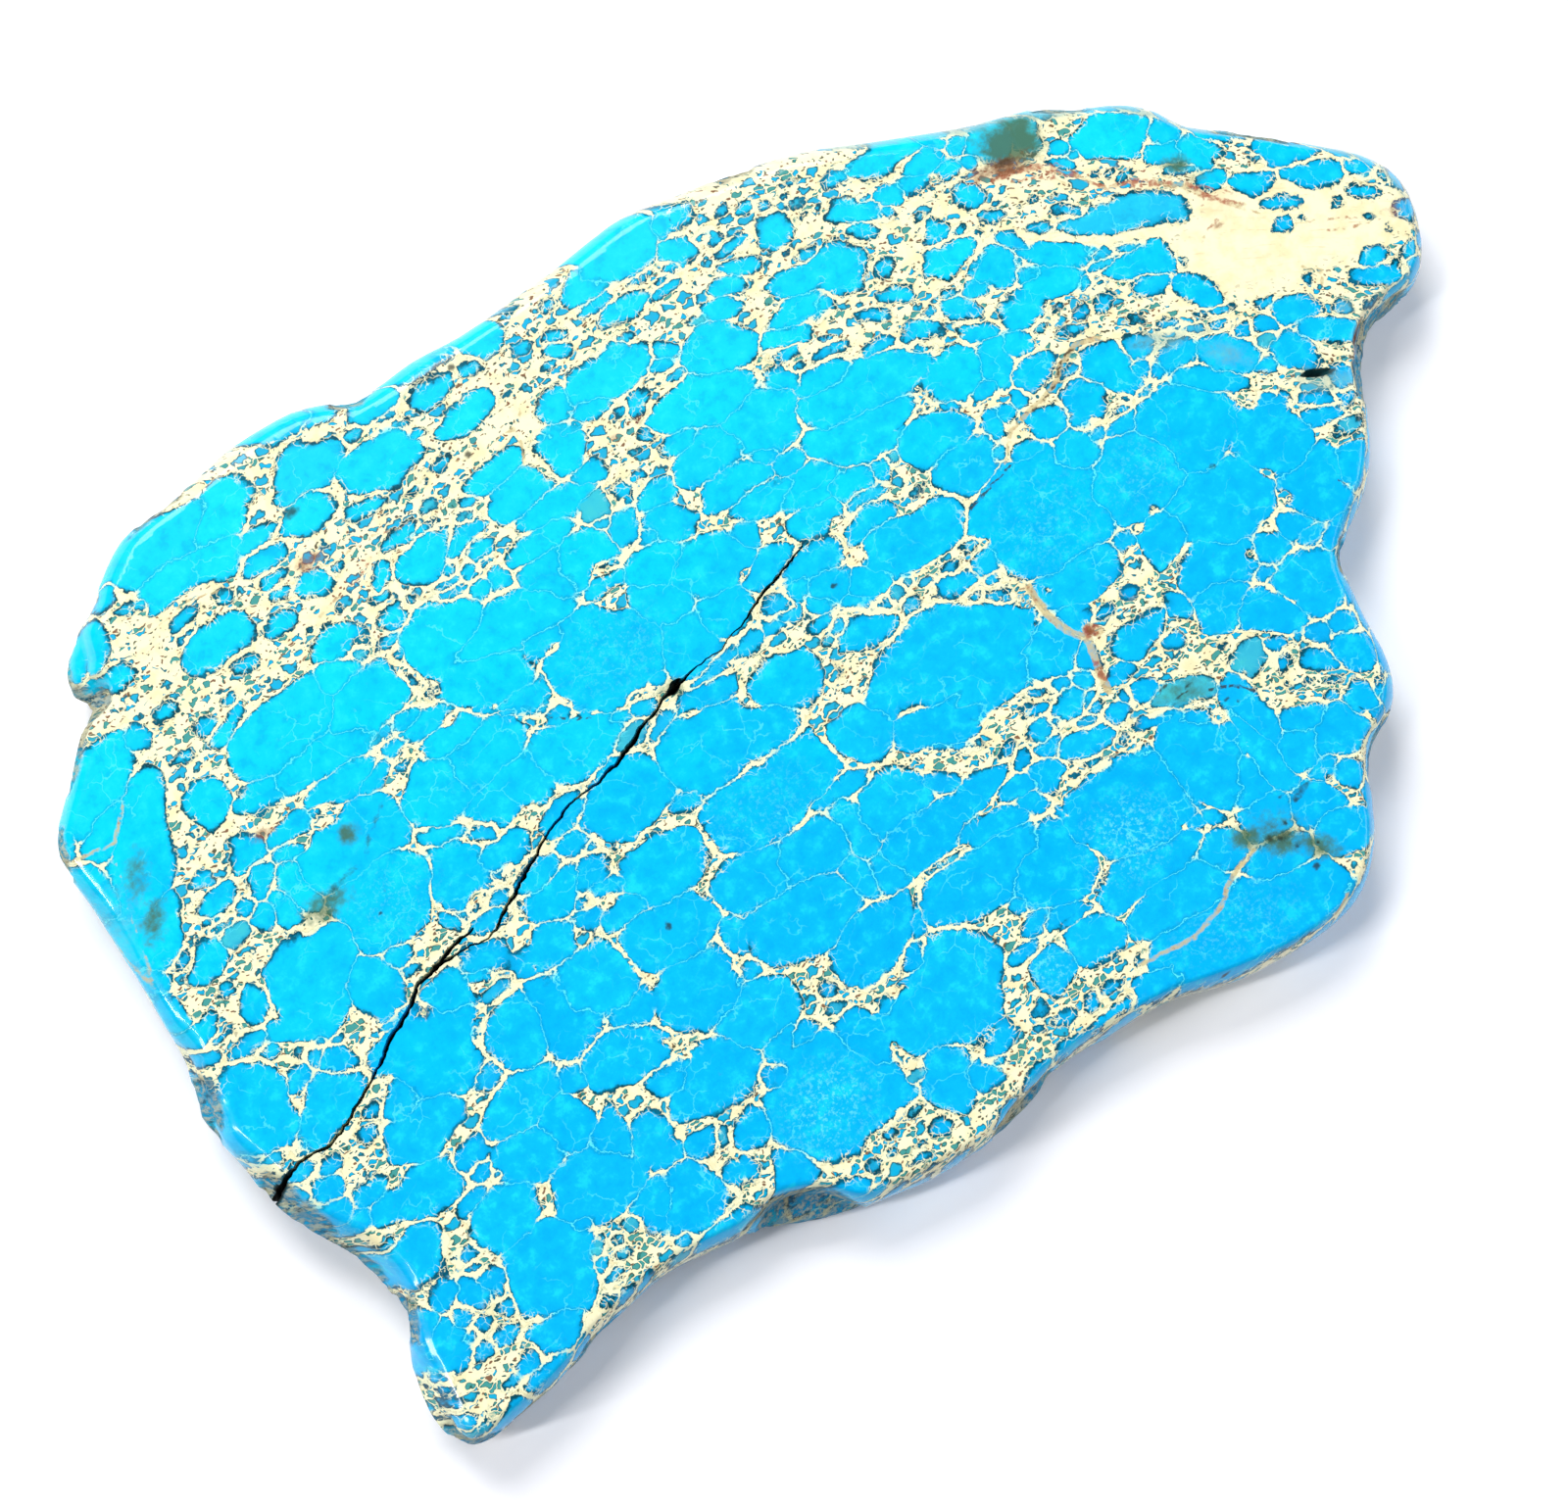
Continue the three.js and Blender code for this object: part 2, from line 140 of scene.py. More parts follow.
        (-30.5, -3.2, 0.5, 0.3), (-25.5, -9, 4.2, 3), (-40, -9, 3.2, 1.8), (-35.3, -8.7, 1.7, 0.9),
        (-31.3, -7.3, 1.8, 0.9, -20), (-31.5, -10.5, 2.4, 1.3), (-38.5, -15, 4.2, 3.4),
        (-29, -15, 4.8, 3), (-19, -15.3, 4, 2.4), (-12.5, -16.3, 4.5, 2.2), (-6.6, -12.9, 3, 0.9, -8),
        (-9.8, -21, 1.5, 2.4), (-23.8, -18.6, 1.3, 1.5), (-45.6, -21.4, 1.4, 1.4),
        (-14, 18.9, 2.4, 1.2), (-44.6, 15.6, 2.4, 0.9, 10), (-46, -6.2, 2.4, 1.1),
        (-32.3, -1.8, 2, 0.9), (-43.6, -12.4, 2, 0.8), (-9.3, 5.3, 3.3, 0.6, 5),
        (-12.2, 3, 3.4, 1.1, -8), (-17.4, 3.4, 1.6, 0.6, 15), (-5.6, 9.7, 2.6, 2),
        (-8.6, 17.4, 3.5, 2), (-22, 17.2, 2.6, 1.4, -10),
    ],
    "lower middle": [
        (-36.7, -19, 2.3, 1.3), (-40, -22.5, 4, 2.4), (-30, -21.5, 4, 3.5), (-26.5, -23, 1.2, 0.7),
        (-24.6, -23, 1.1, 0.8), (-17, -21.5, 6, 3.4), (-26.3, -26.8, 4, 2.7),
        (-12.3, -27.7, 5.3, 2.8, 10), (-37.5, -27.5, 2, 1.4), (-36, -27, 1.5, 0.8),
        (-34, -29.6, 5, 2.6), (-26, -30.3, 2.4, 1, 20), (-24, -31, 1.5, 1), (-19, -28.7, 0.7, 0.8),
        (-14.5, -30.2, 1.7, 1.1), (-10.3, -31, 1.7, 1.3, 20), (-9.6, -36, 6.4, 4.8, 5),
        (-24.5, -38, 7, 5.5), (-19, -35.5, 2.3, 3.8), (-15.5, -33.5, 1.4, 1), (-33.7, -36.2, 1.9, 1.6),
        (-29.8, -36, 1.4, 1), (-28.5, -33, 1.2, 1), (-36.8, -38.7, 1.9, 1.3), (-38.6, -34, 1.4, 1.3),
        (-42.5, -38, 3.5, 2.8, 10), (-42, -31, 2, 3), (-32.7, -42, 1.6, 1.7),
        (-40.3, -43.2, 3.5, 0.9, -10), (-29.2, -47.1, 1.5, 1.2), (-27.3, -48.4, 1.5, 0.6),
        (-22.4, -44.2, 0.9, 0.6), (-25.2, -45.7, 0.9, 0.4), (-23.6, -45.8, 0.8, 0.45),
        (-17.9, -46.4, 1.2, 0.9), (-21.6, -47.9, 1.2, 0.7), (-20.8, -46.9, 1, 0.5),
        (-20.5, -49.7, 1, 0.4), (-20.6, -42.8, 0.6, 0.7), (-14.5, -43.5, 2.3, 3),
        (-11.5, -45, 2.3, 1.5), (-9.3, -44.2, 1, 0.6), (-8, -43, 1.5, 1, 20),
    ],
    "top": [
        (7.5, 48, 5, 3), (2.5, 46.6, 3.2, 1.6), (2.3, 44.4, 2, 0.9), (14.3, 47.5, 2.7, 1.4),
        (12.9, 44.2, 1.6, 1.6), (8, 44.3, 1.6, 0.5), (4.5, 42.3, 3, 1.6, -5), (8.5, 41.6, 2.5, 0.8),
        (11, 43.4, 1.2, 0.8), (9.5, 42.8, 1.1, 0.5), (19.2, 45.5, 0.9, 0.6), (21.3, 44.2, 1.5, 0.8),
        (23, 43.5, 1.3, 0.8, -30), (16.8, 43.7, 0.8, 1.3), (16.2, 44.3, 1, 0.4), (18, 41.6, 2, 0.9),
        (19, 41, 1, 0.7), (22.4, 40.2, 2.4, 2.1), (26.5, 44, 0.9, 0.3), (26, 40.1, 0.8, 0.4),
        (27.6, 39.8, 0.6, 0.4), (14.8, 38, 2, 1.1), (17.5, 39, 2.3, 1, -30), (13, 36.3, 2.2, 1.2, -25),
        (23.7, 36, 1.3, 0.7), (22.2, 37.5, 0.5, 0.3), (30.5, 37, 3, 1.8, -35), (30, 35, 1.8, 1.2, -50),
        (31.5, 41.3, 2.3, 1.2), (-1, 37.5, 4.5, 2.8), (0.5, 39.7, 1.2, 0.5), (3, 39.3, 1.2, 0.5, -35),
        (-4.5, 35.2, 2, 1), (0, 33.3, 2, 1.4), (-2.2, 33.4, 1, 0.7), (4.2, 34.9, 1.2, 0.7),
        (5.7, 35.6, 1, 0.9), (4.7, 33.2, 1.4, 0.5), (3, 33.3, 0.5, 0.3), (10.2, 33.2, 3.8, 2.3, -10),
        (19.5, 31.5, 3.5, 1.6, -25), (17.5, 30, 2.5, 1.6), (16, 28.7, 1.6, 0.8), (21.5, 30.5, 2, 1.2),
        (5.5, 29.3, 5.5, 2.8, -20), (-1.3, 29.9, 1, 0.8), (1, 27, 2.2, 1.2), (-5.3, 26.2, 1, 0.9),
        (2.8, 24, 3.8, 2), (9.5, 24, 3.6, 3.3), (13.5, 26, 1.8, 1, -30), (19.5, 26, 2.2, 0.8, -10),
        (20, 27.2, 1.2, 0.6, -25), (16, 26.8, 0.5, 0.4), (25.5, 26.8, 2, 0.9, -40),
        (28.5, 27, 2.5, 1, -40), (-4, 23.2, 2, 1.3), (-4.5, 20.5, 2.2, 2), (3, 20, 3.5, 1.5),
        (7.5, 21, 1.3, 1), (17.5, 23.7, 3, 1.4), (24, 23.5, 2, 0.9), (20, 20.5, 6.5, 3, -5),
        (28.5, 22.5, 1.7, 1.2), (30.5, 23.3, 1.2, 0.5), (27, 20.8, 1, 0.8), (-1.8, 47.3, 1.1, 0.6),
        (-3.3, 44.3, 1.2, 0.8), (-4, 42.6, 1.8, 0.8, -15), (-5.5, 41.7, 0.8, 0.5),
        (29.5, 30.2, 1.2, 1.3),
    ],
    "middle": [
        (-3.5, 14, 4.2, 3.3), (1.2, 14.8, 1.6, 1.6, -45), (5, 16.8, 3.6, 1.5),
        (9.5, 15.3, 4, 1.9, -10), (8, 12.3, 3, 1.3), (0.6, 11, 2.8, 1.3, 10),
        (12.8, 13.3, 2.2, 1.5, -20), (17.5, 17.3, 5.5, 2.8, -5), (23, 12.3, 4, 2.4, -5),
        (29, 16.3, 2.8, 2.2), (30.5, 13.3, 1.8, 1), (24.2, 8, 3, 2.2), (13.5, 10.8, 2.2, 0.6),
        (12.8, 8.5, 3, 1), (14.5, 4.5, 5.3, 2.9), (5, 8.3, 3, 1.2), (5, 5.5, 1.8, 1.6),
        (8.5, 3.6, 2.3, 1.8, -20), (-4, -0.4, 3.8, 2.5), (1.8, 2.7, 1.2, 0.9), (11, -1.1, 1.2, 0.5),
        (5.3, -0.8, 3, 1.1, -5), (15.5, -2, 1.9, 1, -10), (16.8, 0, 0.9, 0.4), (19.3, 0.4, 1, 0.5),
        (20, -1.8, 1.8, 1), (16.3, -4, 0.8, 0.6), (18.4, -5.4, 1.6, 0.6, -40), (18.5, -3.5, 0.7, 0.5),
        (-1.3, -9, 3.4, 2.6), (0.7, -2.8, 0.8, 1), (26.5, -8.5, 4, 2.4), (6.5, -12.8, 4.8, 2.8, -15),
        (19.2, -13, 3.3, 2.6), (24, -12, 1.4, 2, 30), (-3, -17, 4, 2.2), (26.5, -13.1, 1.2, 0.8),
        (29.8, -13.2, 1.2, 0.8), (28, -17, 3.3, 1.6), (14.3, -17.3, 1.4, 0.9), (-0.5, 5.3, 1.3, 0.7),
        (29.7, 5.2, 1.8, 1.2), (27.5, 7.3, 1, 0.6), (30.4, 9.8, 1.4, 1), (-5.3, 5.2, 1.8, 0.7, 5),
        (-2.2, 5.3, 1.4, 0.7), (-0.6, 7, 1.4, 0.7, 10), (2.6, 7.1, 1.2, 1.1), (3.1, 4.4, 1.2, 1.1),
        (6.4, 2.8, 1.5, 0.9, -30), (9.8, 5.2, 1.4, 0.8, -30), (3.3, 1.1, 0.9, 0.6),
        (12.4, 1.6, 0.8, 0.5, -20), (2.8, -7.4, 1.8, 0.9, -20), (7.7, 0.3, 0.8, 0.5),
        (8.6, -3.2, 1, 0.4), (22.6, -16.4, 1.2, 1.4, 10), (20.6, -17.6, 1.2, 0.9),
    ],
    "bottom": [
        (8.3, -22.6, 2.1, 1.2, -15), (11.7, -23.9, 1.6, 1.7), (4, -25, 3, 1.6, -10),
        (8.5, -24.8, 1.5, 1, -20), (0.5, -28.5, 6.5, 3), (6.5, -31.5, 4.2, 4, 30), (16.5, -31, 6.5, 5),
        (25.5, -31.5, 3.7, 5.5, 10), (10.5, -20.9, 1.1, 0.8), (10, -18.8, 1.2, 0.7),
        (14, -19.3, 1.3, 1.3), (13.7, -21.2, 1.4, 1), (17.5, -18.8, 1.8, 1.2),
        (18.3, -21, 1.2, 0.5, -25), (17, -23, 2.8, 1.2, -20), (20, -20.6, 0.8, 0.6),
        (21.5, -22.6, 1.4, 0.9, 10), (24, -19, 1.6, 1.1, 10), (25.6, -21.7, 1.4, 1.1, 15),
        (23.2, -21.5, 0.6, 0.8), (24, -25.6, 2.2, 0.8, -15), (27, -27.3, 2.3, 1, -30),
        (16.3, -25.3, 1, 0.5), (20.5, -27.7, 1.7, 0.9, -5), (17, -26.8, 0.9, 0.8),
        (30, -30.7, 1.4, 1.2, 20), (1.5, -32.7, 1.4, 0.9), (1.5, -35.2, 2, 1), (-1, -37, 2, 0.8, 8),
        (0.3, -40.2, 2.3, 2), (5.7, -40.6, 2.8, 2.2, 30), (14.5, -37.5, 6, 2.2), (15, -42, 6.2, 3),
        (19, -47.5, 11, 4.2, -10), (9.5, -46.5, 4.5, 1.7), (0, -47.3, 5, 0.9, 3),
        (-1.2, -44.6, 1.6, 0.7), (2.1, -45, 1, 0.9), (4.3, -45, 1.3, 0.6), (-3.3, -42.6, 0.9, 0.6),
        (8.3, -44.3, 0.9, 0.4), (-4, -44.3, 0.5, 0.3), (21, -36.5, 1.2, 1, -20),
        (23.3, -36.7, 1.2, 0.9), (28, -35.5, 2.2, 3), (27.5, -39.7, 2.5, 1.9), (31, -34, 2, 5),
        (21.6, -40.3, 2.4, 1.6), (26, -44, 3.4, 1.4, -8), (5.6, -15.6, 2, 0.6, -30),
        (2.2, -18, 2.2, 0.8, -40), (16.6, -16.4, 1.4, 0.6, -20), (15.6, -19.4, 0.8, 0.5),
        (19.6, -19.4, 0.9, 0.6), (8.8, 0.5, 0.9, 0.45, -10), (13.6, -0.3, 0.9, 0.4),
        (14.8, 1.5, 0.8, 0.35, -10), (12.4, -3.4, 1, 0.4, -30), (18.4, -16.6, 1, 0.7),
        (-43.2, -3.4, 1.8, 0.7), (-39.4, 0, 1, 0.5, 20), (-20.4, -4.6, 1.6, 1), (-41, 16.8, 1.2, 0.7),
        (9, 19, 2, 1.1, -20), (16.6, 12.6, 1, 1.2), (29.2, 9.6, 1.1, 1.6), (40.2, 3.6, 1.2, 0.7),
        (-51.8, 16, 1.4, 0.8), (-12.8, 20.4, 1.2, 0.7), (33, -8, 1.4, 1), (30.6, -19.6, 1.6, 1, -35),
        (38.6, -26, 1.4, 0.8, -35), (43.4, -27.4, 1.6, 0.8, -20), (-46.6, -9.6, 1.4, 0.5),
        (-34.4, -7, 0.9, 0.7), (35.4, -39.2, 1.3, 1.2), (5, -36.3, 2, 1.2),
    ],
    "upper right": [
        (36, 40.3, 5, 1.6, -12), (39.5, 37.3, 2, 1.6), (34.8, 36.5, 1.6, 1.3), (37.3, 36, 1.8, 1.2),
        (33, 35.3, 1.4, 0.9), (41, 35.2, 1.8, 1), (43.3, 35, 1.1, 0.8), (32.5, 37.5, 1.3, 0.8),
        (41.6, 38.9, 1.6, 0.9, -25), (44, 37, 1.3, 0.8), (47, 35.3, 2.2, 1.5),
        (41.5, 31.8, 1.9, 1.6, -20), (36.5, 30.8, 1.5, 1.3, -30), (35, 31.7, 0.8, 0.4),
        (38, 29.2, 1, 0.6, -20), (42, 28.7, 1.6, 0.7, -25), (43.3, 29.7, 0.7, 0.3),
        (39.2, 27.5, 0.6, 0.7), (35.5, 27, 3, 1.9), (39, 23.8, 2, 1.8, 20), (38, 24.8, 1.8, 0.7, 15),
        (42, 24.9, 1.8, 0.8, -40), (45.8, 24.6, 1.3, 0.6, -20), (49.2, 24.2, 1.6, 0.6, -40),
        (36.3, 22.9, 1.4, 0.9, -25), (34, 21.9, 2, 1.1, -40), (33.5, 24, 1.2, 0.6),
        (41.4, 22.8, 0.6, 0.5), (41.5, 20.6, 1.4, 1, -10), (45.3, 21.2, 3.6, 1.3, -38),
        (43.3, 19.3, 2.8, 1.6, -20), (57.3, 28.6, 3.9, 2.4, -25), (52.5, 31, 1, 0.9),
        (51.7, 29, 1.2, 0.7, -50), (53, 29.5, 0.9, 0.6), (55.2, 24.9, 0.8, 0.4),
        (56.5, 23.9, 1.2, 0.6, -10), (52.6, 23.4, 0.6, 0.4), (62.5, 25.5, 1.6, 1.3, -40),
        (61.5, 23.6, 2, 1.1, -25), (64.3, 21.6, 2.4, 1.4, -30), (67, 22.4, 1.8, 0.8, -35),
        (63.3, 18.6, 1.9, 1, -20), (38.3, 18, 2.5, 1.7, -35), (34, 19, 2, 1, -25),
        (47.7, 19.8, 1.3, 0.7, -10), (49, 18.5, 1.1, 0.6),
    ],
    "right": [
        (33.3, 15.3, 1.8, 2.6, -30), (36.2, 15.8, 2.1, 1.4, -35), (35.9, 12, 2.1, 1.7),
        (32.7, 10.3, 0.9, 0.9), (46, 17.3, 0.8, 0.7), (48.5, 17.5, 1.6, 0.5, -12),
        (41.8, 16.6, 1, 0.4, -10), (52.3, 17.3, 1.5, 0.5, -30), (50.8, 12.6, 1.9, 1.2, -10),
        (43.8, 14.5, 1.3, 0.8), (46.4, 14, 1.3, 1), (41.5, 13.4, 1.9, 0.6, -15),
        (46.8, 15.8, 0.7, 0.3), (39, 9.7, 1.1, 0.6), (33.8, 7.3, 1.9, 1.6), (38.2, 6.2, 2.1, 2.2, -20),
        (45, 6.2, 0.9, 0.9), (41, 4.5, 0.7, 0.6), (44, 3.9, 0.8, 0.4), (40, 1.9, 1.4, 1),
        (37.3, 2.8, 0.9, 0.7), (37, 4.5, 0.8, 0.5), (34.3, 2.5, 2.2, 2), (46.5, 8.3, 1.5, 1, -30),
        (49, 4.8, 2.8, 1, 5), (46.6, 4.7, 0.9, 0.8), (53.5, 2, 3.6, 1.6, -50),
        (50, 0.8, 3.4, 1.3, -38), (45, -2, 4.5, 5), (38, -3.5, 6, 4), (36.5, -10, 3.2, 2.6),
        (43, -10.5, 5.5, 5), (52, -8, 4, 4.5), (53, -14.5, 4, 3.3, 30), (45, -17, 2, 1.5),
        (47.8, -17, 2, 1.2), (39, -15.5, 4, 2.8), (55.2, 9.3, 2.6, 1.6, -40),
        (50.5, 8.3, 1.2, 0.5, -15), (47.8, 10.5, 1.2, 0.5, -35), (51, 7.5, 1.2, 0.3, -20),
        (55, 6.8, 2.2, 0.5, -30), (54.7, 5.4, 1.1, 0.6, -25), (52, 6.7, 1.2, 0.4, -30),
        (56.5, 5, 1, 0.3), (56.2, 3.3, 1, 0.8, -20), (58.6, 2.8, 1.2, 0.9, -30), (60, 4.5, 1, 0.7),
        (62.3, 1.9, 3, 1.2, -38), (65.1, 3.8, 0.6, 0.7), (61, 0.4, 1, 0.4),
        (59.5, -1.7, 1.9, 1.5, -25), (63.8, -2.2, 3, 1.6, -40), (66.5, -1, 1, 0.9),
        (56, -1.5, 1.6, 0.8, -20), (54, -4.8, 2.2, 1.2, -20), (58.2, -7, 1.6, 0.8, -30),
        (57.3, -8.8, 1.8, 1, -20), (61, -8.7, 0.9, 0.7), (62.3, -7, 1.2, 1), (57, -15, 2.5, 1.7, 20),
        (33, -16.8, 1.3, 1.2),
    ],
    "lower right": [
        (36.8, -18.8, 2.2, 3, -30), (42.3, -19, 1.4, 0.7), (40.8, -23, 3, 2.5, -30),
        (46.2, -22.8, 3.8, 3.2, -25), (51.5, -19.5, 2.5, 1, 25), (49, -18.5, 1.5, 0.8),
        (34.7, -22.6, 0.7, 0.5), (38.3, -28.2, 0.9, 0.9), (37.7, -27.7, 0.7, 0.4),
        (41.3, -26.3, 0.7, 0.5), (41.7, -29.8, 1.7, 1.1, -25), (45.3, -31, 1.8, 1.6, -50),
        (46, -28.3, 1.8, 0.8, -30), (40.2, -33.5, 0.6, 0.5), (39.4, -30.9, 0.4, 0.4),
        (37.6, -30, 0.4, 0.4), (32.5, -30, 2.1, 4), (36.6, -33.7, 2.2, 1.5, -30),
        (38.8, -36.8, 2.6, 2.1, -20), (34.5, -36, 2.2, 2.2), (42.8, -35.2, 1.5, 1.9, 30),
        (44.8, -35.8, 0.9, 0.8), (37, -41, 1.4, 1.1, -15), (33, -45.5, 2.7, 2.3, 30),
        (32.5, -41.5, 2.7, 1.8),
    ],
    "right tip": [
        (66.8, 15.6, 2.2, 1.6, -30), (68, 12, 2.3, 0.9, -25), (66.9, 9.9, 1.3, 0.9, -20),
        (68.8, 9.8, 0.7, 0.4), (73, 12.5, 3.2, 1.6, -38), (71.6, 16.6, 3.6, 1.2, -42),
        (76.6, 10.8, 1.6, 0.9, -45), (75.7, 8.4, 1.9, 0.9, -30), (72.4, 1.9, 1.2, 0.9, -20),
        (71.3, 0, 2.4, 0.9, -33), (69.2, -2.1, 1.1, 0.4), (73.3, -2.7, 1.8, 0.6, 10),
        (76.5, 0.2, 1.3, 0.6, 40),
    ],
}
GREEN_NODULES = [
    (-65, 10, 1.8, 1.2), (-66.3, -3.6, 0.6, 0.5), (-72, -44.9, 1.8, 0.8), (-53, -36.8, 1.1, 0.8),
    (-51, -38.8, 0.7, 0.5), (-48.7, -37, 0.7, 0.6), (-50.8, -37.6, 0.5, 0.4), (-46.5, -42.5, 1.2, 0.5),
    (-35.3, 38.9, 0.5, 0.4), (-24.2, 36.1, 1.3, 0.7), (-21.5, 33, 1, 0.5), (-38, 32.5, 0.6, 0.5),
    (-41.2, 32.2, 0.6, 0.4), (-39, 27, 0.5, 0.5), (-10, 26.5, 1.5, 1.3), (-7.5, 24.2, 0.5, 0.4),
    (-17.9, 7.6, 0.9, 0.5), (-43.6, -1.4, 0.8, 0.6), (-33.5, -1, 0.5, 0.3), (-19.4, -30.8, 0.8, 0.7),
    (-19, -43.6, 0.9, 0.6), (-17.3, -40.9, 1.2, 0.6), (26, 41.8, 1.2, 0.6, -40), (25.5, 43, 0.5, 0.6),
    (10.5, 36.6, 1.5, 0.8), (-3.5, 28.8, 0.7, 0.5), (-5.2, 48.9, 0.9, 0.7), (18, 12.8, 1.1, 0.7),
    (18, 8.6, 0.9, 0.6), (1.9, 0.7, 0.8, 0.6), (10.3, 0.8, 0.9, 0.7), (7.3, -16.6, 1, 0.7),
    (-2.5, -25, 2.2, 0.4), (28.5, -24.7, 3, 1.5, -20), (13.9, -25.5, 0.5, 0.35),
    (2.4, -47.2, 0.8, 0.6), (50.5, 34.5, 1.5, 2), (69, 18, 0.9, 0.8), (51, 18.6, 0.7, 0.3),
    (45.2, 27.7, 0.6, 0.4), (46.7, 27.3, 0.6, 0.4), (48.5, 26.5, 0.6, 0.4), (36, 33.1, 0.6, 0.4),
    (55.5, 13, 0.5, 0.9), (39, 15.4, 0.8, 0.5), (58, 0.5, 1, 0.6), (58.5, -11.7, 1.5, 0.7),
    (35.8, -25.5, 1.9, 1.7), (73, 8.9, 0.8, 0.5), (74.5, 5.7, 0.6, 0.4), (75.3, 3.3, 0.4, 0.4),
    (77.2, 9.5, 0.8, 0.4), (79, 8.7, 0.8, 1),
]
DARK_NODULES = [
    (-58.4, 5.8, 1, 0.4), (-36, 22, 0.5, 0.9), (-36.8, 19.3, 0.6, 0.4), (-21, 4.2, 2, 0.8, 15),
    (-36.8, -34.8, 0.6, 0.9), (12.3, 1.3, 0.6, 0.8), (20.2, -25.3, 0.7, 0.4), (53.8, 25.8, 0.8, 0.6),
    (61.5, 21.4, 1.6, 0.5, -35), (34.9, -21.2, 0.5, 0.6), (41.5, -32.3, 0.9, 0.5, -20),
]
JOINED_NODULES = [
    [(-14.5, -1.4, 5.5, 3.8), (-9.3, -2.8, 3, 2.2)],
    [(-14, -9.5, 6, 3.4), (-8.2, -8.8, 3.2, 3)],
    [(-61, 2.6, 5, 4.2, 10), (-63.5, -1.4, 4, 2, -5)],
    [(-31.6, 46.8, 4, 2.4), (-35.4, 45.4, 1.5, 0.8)],
    [(20.5, 34.3, 3, 1.5, -10), (26, 33, 2.8, 2.8)],
    [(11, -8, 9, 4.5, -5), (12, -12.5, 6, 2.4)],
    [(28, -2, 6.5, 5), (26.5, 2.3, 5.3, 3, 10)],
    [(-2.5, -21.5, 4.5, 3, 10), (5, -21, 3.3, 1.4, 15)],
    [(48.5, 22.7, 1.5, 0.5, -25), (54, 20.8, 5.4, 2, -20), (58.6, 17.5, 1, 1.6, 20)],
    [(52.3, 15.5, 3.3, 1.3, -10), (53.8, 14.3, 1.7, 1.4)],
    [(42.3, 8.8, 2.5, 1.8), (42.7, 6.3, 1.5, 1.4)],
]

